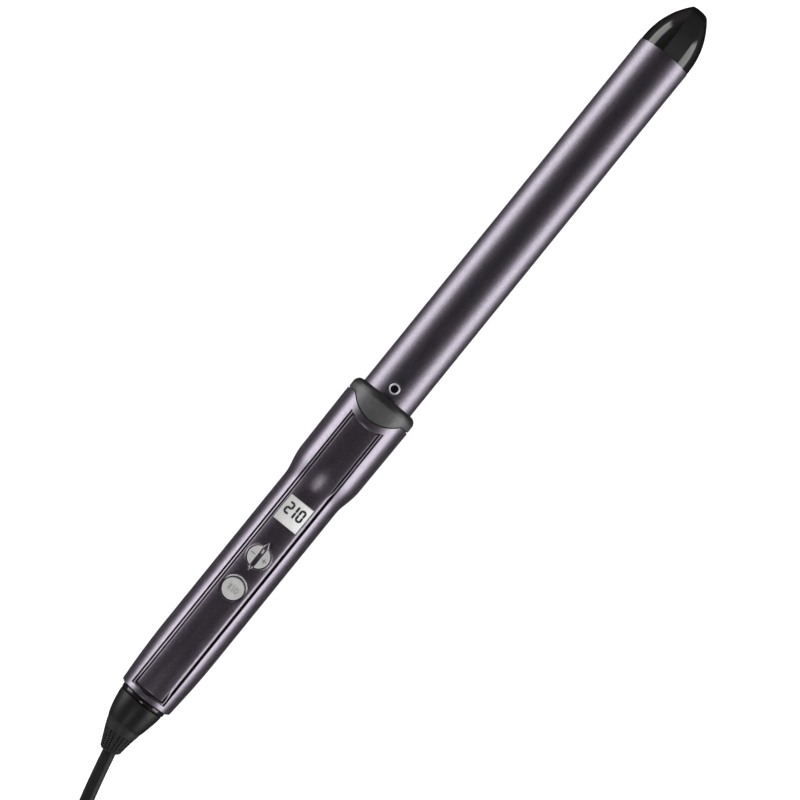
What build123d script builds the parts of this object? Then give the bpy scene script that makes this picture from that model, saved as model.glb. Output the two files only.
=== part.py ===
"""Curling iron with a round barrel, an inlaid control panel and a swivel lead.

X runs along the barrel towards the cool tip, Z is up out of the control panel, and the iron lies on
its flattened back at Z = 0. The origin is under the middle of the iron. Millimetres.
"""

from build123d import *
from math import cos, pi, radians, sqrt, tan
import os

os.makedirs("parts", exist_ok=True)

# ---------------------------------------------------------------- driving dimensions
AXIS_HEIGHT = 15.6  # the barrel's axis above the surface the iron lies on
TIP_END = 202.9
BARREL_END = 177.4
COLLAR_FRONT = -10.0
HEAD_FRONT = -16.7  # seam between the collar and the handle shells
HANDLE_END = -175.3

BARREL_RADIUS = 12.5
BARREL_BORE = 11.0
SPIGOT_RADIUS = 11.9  # stepped root of the barrel, inside the handle
SPIGOT_END = -24.0
EYELET_X = -5.8
TIP_RADIUS = 12.42
COLLAR_RADIUS = 16.1

HEAD_HALF_WIDTH = 16.27
HEAD_TAPER = 0.01
GRIP_HALF_WIDTH = 14.0
GRIP_BELLY = 2.3  # how much lower the grip's belly circle is than the axis
SHOULDER_FRONT = -48.5
SHOULDER_REAR = -62.5
TAIL_START = -146.0
TAIL_TAPER = 0.0042
TAIL_LIFT = 0.0048
TAIL_POWER = 1.7
WALL = 2.0
GAP = 0.15
STATIONS = [HEAD_FRONT, -32, -47, -50, -53, -56, -59, -62.5, -104, TAIL_START, -154, -162, -169, HANDLE_END]

PANEL_REAR = -172.1
PANEL_HALF_WIDTH = 8.5
STRIP_HALF_WIDTH = 6.9
PANEL_ARC_RADIUS = 18.9
TONGUE_ARC_RADIUS = 15.7
ARC_CENTRE_X = -7.0  # the tongue's and the panel end's common centre
PANEL_THICKNESS = 2.0
LEDGE_DEPTH = 1.1
HEAD_CROWN = 18.2
GRIP_CROWN = 15.4

DISPLAY_REAR = -80.0
DISPLAY_FRONT = -67.5
DISPLAY_HALF_WIDTH = 6.25
POWER_X = -114.6
POWER_RADIUS = 4.83
KEYS_X = -97.35
KEYS_RADIUS = 4.92
BAR_HALF_WIDTH = 0.95
BUTTON_TOP = AXIS_HEIGHT + 14.5
FLANGE_TOP = 26.1
FLANGE_BOTTOM = 25.4

BOARD_TOP = 21.6
BOARD_THICKNESS = 1.2
BOARD_FRONT = -60.0
BOARD_REAR = -140.0
BOARD_HALF_WIDTH = 8.0
BOARD_SCREWS_X = (-62.5, -136.0)
SHELL_SCREWS_X = (-52.0, -145.5)
SPLIT = AXIS_HEIGHT
RIB_TOP = 21.0
BOSS_TOP = 23.0

SWIVEL_FRONT = -151.0
SWIVEL_REAR = -173.0
NECK_RADIUS = 5.2
RINGS_X = (-163.5, -157.5)

CORD_DIAMETER = 6.0
HANK_NEAR = -256.0
HANK_STRAIGHT = 84.0
HANK_OUTER = 24.0
HANK_LAYERS = 4
TIE_WIDTH = 14.0
TIE_THICKNESS = 1.2
TIE_LIFT = 1.4  # the turns rise this much over the tie
PLUG_FACE = -398.0
PLUG_Y = -8.0
PLUG_WIDTH = 34.0
PLUG_HEIGHT = 13.7
PIN_SPACING = 18.6
PIN_RADIUS = 2.0
PIN_CORE = 1.5  # the pin inside its insulating sleeve
PIN_LENGTH = 19.0
SLEEVE_RADIUS = 1.75
SLEEVE_LENGTH = 10.0


def finish(part, label):
    """Labels a finished piece and writes it out."""
    part.label = label
    export_step(part, f"parts/{label}.step")


# ---------------------------------------------------------------- the handle's form
def smooth(share):
    """An S-shaped step from 0 to 1."""
    share = min(max(share, 0.0), 1.0)
    return share * share * (3 - 2 * share)


def headness(x):
    """1 over the head, 0 along the grip, with the shoulder between them."""
    return smooth((x - SHOULDER_REAR) / (SHOULDER_FRONT - SHOULDER_REAR))


def tail(x):
    return max(0.0, TAIL_START - x) ** TAIL_POWER


def half_width(x):
    head = HEAD_HALF_WIDTH - HEAD_TAPER * (HEAD_FRONT - x)
    return GRIP_HALF_WIDTH + (head - GRIP_HALF_WIDTH) * headness(x) - TAIL_TAPER * tail(x)


def depth(x):
    return AXIS_HEIGHT - TAIL_LIFT * tail(x)


def handle_section(x, inset):
    """A section across the handle: round above the axis, a lowered and flattened circle below it."""
    width = half_width(x) - inset
    belly = GRIP_BELLY * (1 - headness(x))
    bottom = depth(x) - inset
    low = AXIS_HEIGHT - bottom
    flat = sqrt(width**2 - (bottom - belly) ** 2)
    side = width * cos(radians(45))
    with BuildSketch(Plane.YZ.offset(x)) as section:
        with BuildLine():
            ThreePointArc((-width, AXIS_HEIGHT), (0, AXIS_HEIGHT + width), (width, AXIS_HEIGHT))
            ThreePointArc((width, AXIS_HEIGHT), (side, AXIS_HEIGHT - belly - side), (flat, low))
            Line((flat, low), (-flat, low))
            ThreePointArc((-flat, low), (-side, AXIS_HEIGHT - belly - side), (-width, AXIS_HEIGHT))
        make_face()
    return section.sketch


def handle_form(inset):
    """The handle as one solid, shrunk all round by inset."""
    return loft(sections=[handle_section(x, inset) for x in STATIONS], ruled=True, mode=Mode.PRIVATE)


def crown_section(x, top, bottom):
    """A section of a crowned slab whose faces lie top and bottom above the panel's surface."""
    crown = GRIP_CROWN + (HEAD_CROWN - GRIP_CROWN) * headness(x)
    apex = AXIS_HEIGHT + half_width(x) - 0.1
    reach = 9.0
    drop = crown - sqrt(crown**2 - reach**2)
    half_drop = crown - sqrt(crown**2 - (reach / 2) ** 2)
    with BuildSketch(Plane.YZ.offset(x)) as section:
        with BuildLine():
            Spline(
                (-reach, apex + top - drop),
                (-reach / 2, apex + top - half_drop),
                (0, apex + top),
                (reach / 2, apex + top - half_drop),
                (reach, apex + top - drop),
            )
            Line((reach, apex + top - drop), (reach, apex + bottom - drop))
            Spline(
                (reach, apex + bottom - drop),
                (reach / 2, apex + bottom - half_drop),
                (0, apex + bottom),
                (-reach / 2, apex + bottom - half_drop),
                (-reach, apex + bottom - drop),
            )
            Line((-reach, apex + bottom - drop), (-reach, apex + top - drop))
        make_face()
    return section.sketch


def crown_slab(top, bottom):
    """A slab that follows the panel's crowned surface along the whole handle."""
    return loft(sections=[crown_section(x, top, bottom) for x in STATIONS], ruled=True, mode=Mode.PRIVATE)


def panel_outline(half, end_gap):
    """Plan of the panel: square at the tail, hollowed at the head to run round the collar's tongue."""
    arc = PANEL_ARC_RADIUS + end_gap
    corner = ARC_CENTRE_X - sqrt(arc**2 - half**2)
    with BuildSketch() as outline:
        with BuildLine():
            Line((PANEL_REAR + end_gap, -half), (corner, -half))
            ThreePointArc((corner, -half), (ARC_CENTRE_X - arc, 0), (corner, half))
            Line((corner, half), (PANEL_REAR + end_gap, half))
            Line((PANEL_REAR + end_gap, half), (PANEL_REAR + end_gap, -half))
        make_face()
    return outline.sketch


def prism(outline, bottom=0.0, height=40.0):
    """An upright prism over a plan outline."""
    return extrude(Plane.XY.offset(bottom) * outline, height, mode=Mode.PRIVATE)


def axial(x0, x1, radius, y=0.0, z=AXIS_HEIGHT):
    """A round bar along X from x0 to x1, as a sketch to extrude from the YZ plane at x0."""
    with BuildSketch(Plane.YZ.offset(x0)) as disc:
        with Locations((y, z)):
            Circle(radius)
    return extrude(disc.sketch, x1 - x0, mode=Mode.PRIVATE)


def block(x0, x1, y0, y1, z0, z1):
    """A rectangular block between two corners."""
    with BuildSketch(Plane.XY.offset(z0)) as base:
        with Locations(((x0 + x1) / 2, (y0 + y1) / 2)):
            Rectangle(abs(x1 - x0), abs(y1 - y0))
    return extrude(base.sketch, z1 - z0, mode=Mode.PRIVATE)


def post(x, y, radius, z0, z1):
    """A round post standing from z0 to z1."""
    with BuildSketch(Plane.XY.offset(z0)) as base:
        with Locations((x, y)):
            Circle(radius)
    return extrude(base.sketch, z1 - z0, mode=Mode.PRIVATE)


def wire(points, bends, radius):
    """A round wire along straight runs joined by arcs."""
    with BuildLine() as route:
        FilletPolyline(*points, radius=bends)
    start = route.line @ 0
    with BuildSketch(Plane(origin=start, z_dir=route.line % 0)) as section:
        Circle(radius)
    return sweep(section.sketch, path=route.line, mode=Mode.PRIVATE)


# ---------------------------------------------------------------- barrel and heater
def make_barrel_tube():
    with BuildPart() as barrel_tube:
        add(axial(COLLAR_FRONT, BARREL_END, BARREL_RADIUS))
        add(axial(SPIGOT_END, COLLAR_FRONT, SPIGOT_RADIUS))
        add(axial(SPIGOT_END, BARREL_END, BARREL_BORE), mode=Mode.SUBTRACT)
        add(post(EYELET_X, 0, 2.1, AXIS_HEIGHT + 5, AXIS_HEIGHT + 20), mode=Mode.SUBTRACT)
    finish(barrel_tube.part, "barrel_tube")


def make_barrel_eyelet():
    """A hollow rivet whose thin rim lies on the barrel's surface."""
    rim_top = AXIS_HEIGHT + BARREL_RADIUS
    with BuildPart() as barrel_eyelet:
        add(post(EYELET_X, 0, 2.6, rim_top - 1.5, rim_top + 2))
        add(axial(EYELET_X - 4, EYELET_X + 4, BARREL_RADIUS + 0.18), mode=Mode.INTERSECT)
        add(axial(EYELET_X - 4, EYELET_X + 4, BARREL_RADIUS), mode=Mode.SUBTRACT)
        add(post(EYELET_X, 0, 2.05, AXIS_HEIGHT + 9.2, rim_top))
        add(post(EYELET_X, 0, 1.7, AXIS_HEIGHT + 9, rim_top + 2), mode=Mode.SUBTRACT)
    finish(barrel_eyelet.part, "barrel_eyelet")


def make_cool_tip():
    """A bullet-shaped plug with a blunt end, whose root sits in the barrel's bore."""
    root = BARREL_END - 10
    with BuildPart() as cool_tip:
        with BuildSketch(Plane.XZ):
            with BuildLine():
                Polyline(
                    (root, AXIS_HEIGHT),
                    (root, AXIS_HEIGHT + 10.9),
                    (BARREL_END, AXIS_HEIGHT + 10.9),
                    (BARREL_END, AXIS_HEIGHT + TIP_RADIUS),
                )
                Spline(
                    (BARREL_END, AXIS_HEIGHT + TIP_RADIUS),
                    (BARREL_END + 8.35, AXIS_HEIGHT + 11.86),
                    (BARREL_END + 16.05, AXIS_HEIGHT + 9.42),
                    (BARREL_END + 22.5, AXIS_HEIGHT + 5.65),
                    (TIP_END - 0.6, AXIS_HEIGHT + 4.0),
                )
                Polyline(
                    (TIP_END - 0.6, AXIS_HEIGHT + 4.0),
                    (TIP_END, AXIS_HEIGHT + 2.4),
                    (TIP_END, AXIS_HEIGHT),
                    (root, AXIS_HEIGHT),
                )
            make_face()
        revolve(axis=Axis((0, 0, AXIS_HEIGHT), (1, 0, 0)))
    finish(cool_tip.part, "cool_tip")


def make_barrel_socket():
    """The heat-proof bush that holds the barrel's root inside the head."""
    with BuildPart() as barrel_socket:
        add(axial(-44.0, -18.5, 13.3))
        add(axial(-24.5, -18.5, SPIGOT_RADIUS + 0.06), mode=Mode.SUBTRACT)
        add(axial(-26.5, -24.5, 8.0), mode=Mode.SUBTRACT)
        add(axial(-44.0, -26.5, 11.6), mode=Mode.SUBTRACT)
    finish(barrel_socket.part, "barrel_socket")


def make_heater():
    """Two aluminium spreaders pressed against the barrel's bore, with the heating element between them."""
    for name, side in (("heat_spreader_upper", 1), ("heat_spreader_lower", -1)):
        with BuildPart() as spreader:
            add(axial(20, 152, BARREL_BORE - 0.05))
            other_half = block(19, 153, -13, 13, AXIS_HEIGHT - side * 13, AXIS_HEIGHT + side * 1.7)
            add(other_half, mode=Mode.SUBTRACT)
            add(axial(19, 153, 2.6, z=AXIS_HEIGHT + side * 6.2), mode=Mode.SUBTRACT)
        finish(spreader.part, name)
    with BuildPart() as heater_element:
        add(block(26, 146, -6.5, 6.5, AXIS_HEIGHT - 1.65, AXIS_HEIGHT + 1.65))
    finish(heater_element.part, "heater_element")
    with BuildPart() as spreader_spring:
        for side in (-1, 1):
            with BuildSketch(Plane.YZ.offset(30)):
                with Locations((side * 8.4, AXIS_HEIGHT)):
                    Circle(1.6)
                    Circle(1.2, mode=Mode.SUBTRACT)
                with Locations((side * 9.6, AXIS_HEIGHT)):
                    Rectangle(1.0, 1.6, mode=Mode.SUBTRACT)
            extrude(amount=112)
    finish(spreader_spring.part, "spreader_spring")
    with BuildPart() as temperature_sensor:
        add(axial(21, 31, 1.5, z=AXIS_HEIGHT + 6.2))
        fillet(temperature_sensor.edges().filter_by(GeomType.CIRCLE), 1.0)
    finish(temperature_sensor.part, "temperature_sensor")


def make_barrel_leads():
    """The heater's two leads and the sensor's, from the barrel back to the circuit board."""
    with BuildPart() as heater_leads:
        for side in (-1, 1):
            route = [
                (25.9, side * 4.0, AXIS_HEIGHT),
                (-30, side * 4.0, AXIS_HEIGHT),
                (-46, side * 5.5, 12.0),
                (-60, side * 5.6, 12.0),
                (-66, side * 5.5, 15.5),
                (-66.2, side * 5.5, BOARD_TOP - BOARD_THICKNESS - 0.1),
            ]
            add(wire(route, [20, 15, 5, 4], 0.8))
    finish(heater_leads.part, "heater_leads")
    with BuildPart() as sensor_lead:
        route = [
            (20.9, 0, AXIS_HEIGHT + 6.2),
            (-26, 0, AXIS_HEIGHT + 6.0),
            (-44, 5.0, BOARD_TOP + 0.9),
            (-62, 5.5, BOARD_TOP + 0.7),
        ]
        add(wire(route, [30, 20], 0.6))
    finish(sensor_lead.part, "sensor_lead")


# ---------------------------------------------------------------- collar and handle shells
def tongue_plan(radius):
    """Plan of the collar's tongue, as a tall half-round prism behind the seam."""
    with BuildSketch(Plane.XY.offset(AXIS_HEIGHT + 8.5)) as plan:
        with Locations((ARC_CENTRE_X, 0)):
            Circle(radius)
        with Locations((HEAD_FRONT + 20, 0)):
            Rectangle(40, 60, mode=Mode.SUBTRACT)
    return extrude(plan.sketch, 12, mode=Mode.PRIVATE)


def make_nose_collar():
    """The rounded ring at the front of the head, with a tongue that runs back over the top shell."""
    with BuildPart() as nose_collar:
        add(axial(HEAD_FRONT, COLLAR_FRONT, COLLAR_RADIUS))
        fillet(nose_collar.edges().group_by(Axis.X)[-1], 3.2)
        add(axial(HEAD_FRONT, COLLAR_FRONT, SPIGOT_RADIUS + GAP), mode=Mode.SUBTRACT)
        add(block(-30, 0, -20, 20, -10, 0), mode=Mode.SUBTRACT)
        tongue = axial(-26, HEAD_FRONT, COLLAR_RADIUS) - axial(-26, HEAD_FRONT, COLLAR_RADIUS - 1.8)
        add(tongue & tongue_plan(TONGUE_ARC_RADIUS))
    finish(nose_collar.part, "nose_collar")


def make_top_shell():
    """The frame of the handle: the upper half, open along its top for the panel."""
    with BuildPart() as handle_top_shell:
        add(handle_form(0))
        add(block(-200, 0, -20, 20, -5, SPLIT + 0.05), mode=Mode.SUBTRACT)
        add(handle_form(WALL) - block(-200, HANDLE_END + WALL, -20, 20, 0, 40), mode=Mode.SUBTRACT)
        for x in SHELL_SCREWS_X:
            add(block(x - 1.5, x + 1.5, -20, 20, SPLIT + 0.05, RIB_TOP) & handle_form(WALL - 0.5))
            add(post(x, 0, 3.0, SPLIT + 0.05, BOSS_TOP))
        add(prism(panel_outline(PANEL_HALF_WIDTH, 0), BOSS_TOP), mode=Mode.SUBTRACT)
        add(tongue_plan(TONGUE_ARC_RADIUS + GAP), mode=Mode.SUBTRACT)
        add(block(HEAD_FRONT - GAP, 0, -20, 20, 0, 40), mode=Mode.SUBTRACT)
        add(axial(-180, -170, NECK_RADIUS + 0.4), mode=Mode.SUBTRACT)
        for x in SHELL_SCREWS_X:
            add(post(x, 0, 1.3, SPLIT - 1, BOSS_TOP - 1), mode=Mode.SUBTRACT)
    finish(handle_top_shell.part, "handle_top_shell")


def make_bottom_shell():
    """The back of the handle, with the screw bosses."""
    with BuildPart() as handle_bottom_shell:
        add(handle_form(0))
        add(block(-200, 0, -20, 20, SPLIT - 0.05, 40), mode=Mode.SUBTRACT)
        add(handle_form(WALL) - block(-200, HANDLE_END + WALL, -20, 20, 0, 40), mode=Mode.SUBTRACT)
        for x in SHELL_SCREWS_X:
            add(post(x, 0, 3.2, WALL - 0.5, SPLIT - 0.05))
            add(post(x, 0, 2.7, -1, 4.0), mode=Mode.SUBTRACT)
            add(post(x, 0, 1.5, -1, SPLIT + 1), mode=Mode.SUBTRACT)
        add(block(HEAD_FRONT - GAP, 0, -20, 20, -1, 40), mode=Mode.SUBTRACT)
        add(axial(-180, -170, NECK_RADIUS + 0.4), mode=Mode.SUBTRACT)
    finish(handle_bottom_shell.part, "handle_bottom_shell")
    with BuildPart() as shell_screws:
        for x in SHELL_SCREWS_X:
            add(post(x, 0, 2.4, 2.0, 3.95))
            add(post(x, 0, 1.25, 3.0, 21.5))
            add(block(x - 1.8, x + 1.8, -0.3, 0.3, 1.5, 2.7), mode=Mode.SUBTRACT)
            add(block(x - 0.3, x + 0.3, -1.8, 1.8, 1.5, 2.7), mode=Mode.SUBTRACT)
    finish(shell_screws.part, "shell_screws")


# ---------------------------------------------------------------- control panel
def make_control_panel():
    """The inlaid panel: a raised crowned strip on a lower ledge, with its openings and board posts."""
    with BuildPart() as control_panel:
        add(crown_slab(-LEDGE_DEPTH, -PANEL_THICKNESS) & prism(panel_outline(PANEL_HALF_WIDTH - GAP, 0.2)))
        add(crown_slab(0, -PANEL_THICKNESS) & prism(panel_outline(STRIP_HALF_WIDTH, 1.4)))
        for x in BOARD_SCREWS_X:
            add(post(x, 0, 2.2, BOARD_TOP, 28.0))
        add(
            block(DISPLAY_REAR, DISPLAY_FRONT, -DISPLAY_HALF_WIDTH, DISPLAY_HALF_WIDTH, 20, 40),
            mode=Mode.SUBTRACT,
        )
        add(post(POWER_X, 0, POWER_RADIUS + 0.15, 20, 40), mode=Mode.SUBTRACT)
        add(post(KEYS_X, 0, KEYS_RADIUS + 0.15, 20, 40), mode=Mode.SUBTRACT)
        bar_half = KEYS_RADIUS + 0.5
        bar_ends = (KEYS_X - bar_half, KEYS_X + bar_half)
        add(block(*bar_ends, -BAR_HALF_WIDTH, BAR_HALF_WIDTH, 27.6, BUTTON_TOP - 0.3))
        for x in BOARD_SCREWS_X:
            add(post(x, 0, 0.95, BOARD_TOP - 1, 26.5), mode=Mode.SUBTRACT)
    finish(control_panel.part, "control_panel")


def make_panel_trim():
    """A thin rail that runs in the groove round the strip."""
    with BuildPart() as panel_trim:
        rail = prism(panel_outline(PANEL_HALF_WIDTH - 0.35, 0.35))
        core = prism(panel_outline(STRIP_HALF_WIDTH + 0.35, 1.05))
        add(crown_slab(-0.45, -LEDGE_DEPTH + 0.02) & (rail - core))
    finish(panel_trim.part, "panel_trim")


def make_display():
    inner = DISPLAY_HALF_WIDTH - 0.1
    with BuildPart() as display_window:
        add(crown_slab(0, -1.0) & block(DISPLAY_REAR + 0.1, DISPLAY_FRONT - 0.1, -inner, inner, 20, 40))
    finish(display_window.part, "display_window")
    with BuildPart() as display_module:
        add(block(DISPLAY_REAR + 0.2, DISPLAY_FRONT - 0.2, -inner, inner, 25.4, 27.0))
    finish(display_module.part, "display_module")
    with BuildPart() as display_holder:
        add(block(DISPLAY_REAR - 1.8, DISPLAY_FRONT + 1.8, -7.6, 7.6, BOARD_TOP, 25.2))
        room = block(DISPLAY_REAR + 1.5, DISPLAY_FRONT - 1.5, -6.9, 6.9, BOARD_TOP - 1, 26)
        add(room, mode=Mode.SUBTRACT)
    finish(display_holder.part, "display_holder")
    with BuildPart() as display_contacts:
        for y in (-5.6, 5.6):
            add(block(DISPLAY_REAR + 1.7, DISPLAY_FRONT - 1.7, y - 0.9, y + 0.9, BOARD_TOP, 25.4))
    finish(display_contacts.part, "display_contacts")


def make_buttons():
    """The round power button and the two half-round keys, each with a flange that stops it coming out."""
    with BuildPart() as power_button:
        add(post(POWER_X, 0, POWER_RADIUS, FLANGE_BOTTOM, BUTTON_TOP))
        fillet(power_button.edges().group_by(Axis.Z)[-1], 0.5)
        add(post(POWER_X, 0, POWER_RADIUS + 0.8, FLANGE_BOTTOM, FLANGE_TOP))
    finish(power_button.part, "power_button")
    for name, side in (("minus_key", 1), ("plus_key", -1)):
        with BuildPart() as key:
            add(post(KEYS_X, 0, KEYS_RADIUS, FLANGE_BOTTOM, BUTTON_TOP))
            add(post(KEYS_X, 0, KEYS_RADIUS + 0.8, FLANGE_BOTTOM, FLANGE_TOP))
            inner = side * (BAR_HALF_WIDTH + 0.12)
            add(block(KEYS_X - 8, KEYS_X + 8, -side * 8, inner, 20, 40), mode=Mode.SUBTRACT)
        finish(key.part, name)


# ---------------------------------------------------------------- electronics
def make_board():
    with BuildPart() as circuit_board:
        add(
            block(
                BOARD_REAR,
                BOARD_FRONT,
                -BOARD_HALF_WIDTH,
                BOARD_HALF_WIDTH,
                BOARD_TOP - BOARD_THICKNESS,
                BOARD_TOP,
            )
        )
        for x in BOARD_SCREWS_X:
            add(post(x, 0, 1.2, 10, 30), mode=Mode.SUBTRACT)
    finish(circuit_board.part, "circuit_board")
    with BuildPart() as board_screws:
        for x in BOARD_SCREWS_X:
            add(post(x, 0, 2.0, 18.9, BOARD_TOP - BOARD_THICKNESS))
            add(post(x, 0, 0.9, 19.5, 26.0))
    finish(board_screws.part, "board_screws")
    with BuildPart() as tact_switches:
        for x, y in ((POWER_X, 0), (KEYS_X, 3.4), (KEYS_X, -3.4)):
            add(block(x - 2.25, x + 2.25, y - 2.25, y + 2.25, BOARD_TOP, 24.0))
            add(post(x, y, 1.2, 23.9, 24.7))
    finish(tact_switches.part, "tact_switches")
    with BuildPart() as microcontroller:
        add(block(-132, -125, -3.5, 3.5, BOARD_TOP, BOARD_TOP + 1.4))
    finish(microcontroller.part, "microcontroller")
    low = BOARD_TOP - BOARD_THICKNESS
    with BuildPart() as triac:
        add(block(-130, -115, -5, 5, low - 4.4, low))
        add(post(-127, 0, 1.6, low - 5, low + 1), mode=Mode.SUBTRACT)
    finish(triac.part, "triac")
    with BuildPart() as film_capacitor:
        add(block(-108, -95, -3.0, 3.0, low - 11, low))
        fillet(film_capacitor.edges().filter_by(Axis.Z), 0.8)
    finish(film_capacitor.part, "film_capacitor")
    with BuildPart() as fuse:
        add(axial(-88, -68, 2.6, y=-3.5, z=low - 2.6))
    finish(fuse.part, "fuse")


# ---------------------------------------------------------------- swivel
def make_swivel():
    with BuildPart() as swivel_housing:
        add(axial(SWIVEL_REAR, SWIVEL_FRONT, 9.6))
        add(axial(SWIVEL_REAR, SWIVEL_FRONT - 1.5, 7.2), mode=Mode.SUBTRACT)
        for x, side in zip(RINGS_X, (1, -1)):
            z0, z1 = sorted((AXIS_HEIGHT + side * 5, AXIS_HEIGHT + side * 12))
            add(block(x - 2, x + 2, -2.2, 2.2, z0, z1), mode=Mode.SUBTRACT)
    finish(swivel_housing.part, "swivel_housing")
    with BuildPart() as contact_springs:
        for x, side in zip(RINGS_X, (1, -1)):
            z0, z1 = sorted((AXIS_HEIGHT + side * 7.1, AXIS_HEIGHT + side * 10.1))
            add(block(x - 1.2, x + 1.2, -1.5, 1.5, z0, z1))
        upper, lower = AXIS_HEIGHT + 9.75, AXIS_HEIGHT - 10.1
        add(block(RINGS_X[0], SWIVEL_FRONT + 1.0, -1.5, 1.5, upper, upper + 0.35))
        add(block(RINGS_X[1] - 1.2, RINGS_X[1] + 1.2, -6.3, 1.5, lower, lower + 0.35))
        add(block(RINGS_X[1], SWIVEL_FRONT + 1.0, -6.3, -3.3, lower, lower + 0.35))
    finish(contact_springs.part, "contact_springs")
    with BuildPart() as mains_leads:
        over_board = [
            (SWIVEL_FRONT + 1.5, 0.7, AXIS_HEIGHT + 9.9),
            (-146, 4.5, AXIS_HEIGHT + 9.2),
            (-141, 6.4, BOARD_TOP + 1.1),
            (-136.5, 6.5, BOARD_TOP + 0.85),
        ]
        under_board = [
            (SWIVEL_FRONT + 1.5, -4.8, AXIS_HEIGHT - 9.9),
            (-145, -5.2, 7.5),
            (-140, -6.0, 13.0),
            (-138.5, -6.2, BOARD_TOP - BOARD_THICKNESS - 0.1),
        ]
        add(wire(over_board, [4, 4], 0.8))
        add(wire(under_board, [4, 4], 0.8))
    finish(mains_leads.part, "mains_leads")
    with BuildPart() as swivel_core:
        add(axial(SWIVEL_REAR + 0.2, SWIVEL_FRONT - 3.0, 6.9))
        add(axial(-190.0, SWIVEL_REAR + 0.2, NECK_RADIUS))
        for x in RINGS_X:
            add(axial(x - 1.5, x + 1.5, 8) - axial(x - 1.5, x + 1.5, 6.0), mode=Mode.SUBTRACT)
    finish(swivel_core.part, "swivel_core")
    with BuildPart() as slip_rings:
        for x in RINGS_X:
            add(axial(x - 1.45, x + 1.45, 6.95) - axial(x - 1.45, x + 1.45, 6.02))
    finish(slip_rings.part, "slip_rings")
    with BuildPart() as swivel_ring:
        add(axial(HANDLE_END - 2.2, HANDLE_END - 0.3, 10.96))
        fillet(swivel_ring.edges().filter_by(GeomType.CIRCLE), 0.35)
        add(axial(HANDLE_END - 3, HANDLE_END, NECK_RADIUS + 0.05), mode=Mode.SUBTRACT)
    finish(swivel_ring.part, "swivel_ring")


# ---------------------------------------------------------------- strain relief boot
# Each station: how far behind the boot's root, radius, sideways flex, droop, turn in degrees (yaw, pitch).
BOOT_STATIONS = [
    (0.0, 10.75, 0.0, 0.0, 0.0, 0.0),
    (2.6, 10.47, 0.0, 0.0, 0.0, 0.0),
    (6.1, 9.85, -0.05, -0.05, 1.5, 1.0),
    (9.5, 9.08, -0.21, -0.15, 3.5, 2.5),
    (12.9, 8.07, -0.54, -0.35, 6.0, 4.5),
    (16.3, 7.06, -0.98, -0.65, 8.5, 6.5),
    (19.8, 5.99, -1.55, -1.1, 10.5, 8.5),
    (23.2, 5.05, -2.15, -1.65, 12.0, 10.5),
    (25.1, 4.5, -2.55, -2.0, 13.0, 11.5),
]
BOOT_ROOT = HANDLE_END - 2.5


def boot_plane(station):
    """The plane of one section of the flexed boot."""
    back, _, flex, droop, yaw, pitch = station
    heading = Vector(-1, -tan(radians(yaw)), -tan(radians(pitch)))
    return Plane(origin=(BOOT_ROOT - back, flex, AXIS_HEIGHT + droop), x_dir=(0, 1, 0), z_dir=heading)


def boot_section(station):
    with BuildSketch(boot_plane(station)) as section:
        Circle(station[1])
    return section.sketch


def make_cord_boot():
    with BuildPart() as cord_boot:
        loft(sections=[boot_section(station) for station in BOOT_STATIONS])
        add(axial(-190.2, BOOT_ROOT + 1, NECK_RADIUS + 0.05), mode=Mode.SUBTRACT)
    finish(cord_boot.part, "cord_boot")


# ---------------------------------------------------------------- mains lead
CORD_RADIUS = CORD_DIAMETER / 2
EXIT_PLANE = boot_plane(BOOT_STATIONS[-1])
EXIT = EXIT_PLANE.origin
HANK_CENTRE = HANK_NEAR - HANK_OUTER - CORD_RADIUS - HANK_STRAIGHT / 2
HANK_HEIGHT = HANK_LAYERS * CORD_DIAMETER
LEAD_ROUTE = [
    (EXIT.X, EXIT.Y, EXIT.Z),
    (EXIT.X - 17, EXIT.Y - 17 * tan(radians(13.0)), EXIT.Z - 17 * tan(radians(11.5))),
    (EXIT.X - 36, EXIT.Y - 9.7, 5.0),
    (EXIT.X - 56, EXIT.Y - 17.0, CORD_RADIUS),
    (EXIT.X - 78, -24.0, CORD_RADIUS + 0.1),
    (EXIT.X - 95, -24.0, CORD_RADIUS + 0.05),
]
PLUG_AXIS = HANK_HEIGHT + 6.85
PLUG_TAIL = PLUG_FACE + 50.0
TAIL_ROUTE = [
    (-280.0, -24.0, HANK_HEIGHT - 3.0),
    (-294.0, -23.4, HANK_HEIGHT + 0.6),
    (-311.0, -17.0, HANK_HEIGHT + 6.2),
    (-330.0, PLUG_Y, PLUG_AXIS),
    (PLUG_TAIL, PLUG_Y, PLUG_AXIS),
]


def bend_radii(route):
    """The largest tangent arc at each corner that its two runs allow."""
    points = [Vector(*point) for point in route]
    radii = []
    for before, corner, after in zip(points, points[1:], points[2:]):
        run = min((corner - before).length, (after - corner).length)
        turn = (corner - before).get_angle(after - corner)
        radii.append(0.45 * run / tan(radians(turn / 2)))
    return radii


def make_cord_tube(route, label):
    radii = bend_radii(route)
    with BuildPart() as tube:
        add(wire(route, radii, CORD_RADIUS))
    with BuildLine() as path:
        FilletPolyline(*route, radius=radii)
    expected = pi * CORD_RADIUS**2 * path.wire().length
    print(label, "radii", [round(r) for r in radii], "length", round(path.wire().length, 1))
    print(label, "volume", round(tube.part.volume), "expected", round(expected))
    finish(tube.part, label)


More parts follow.
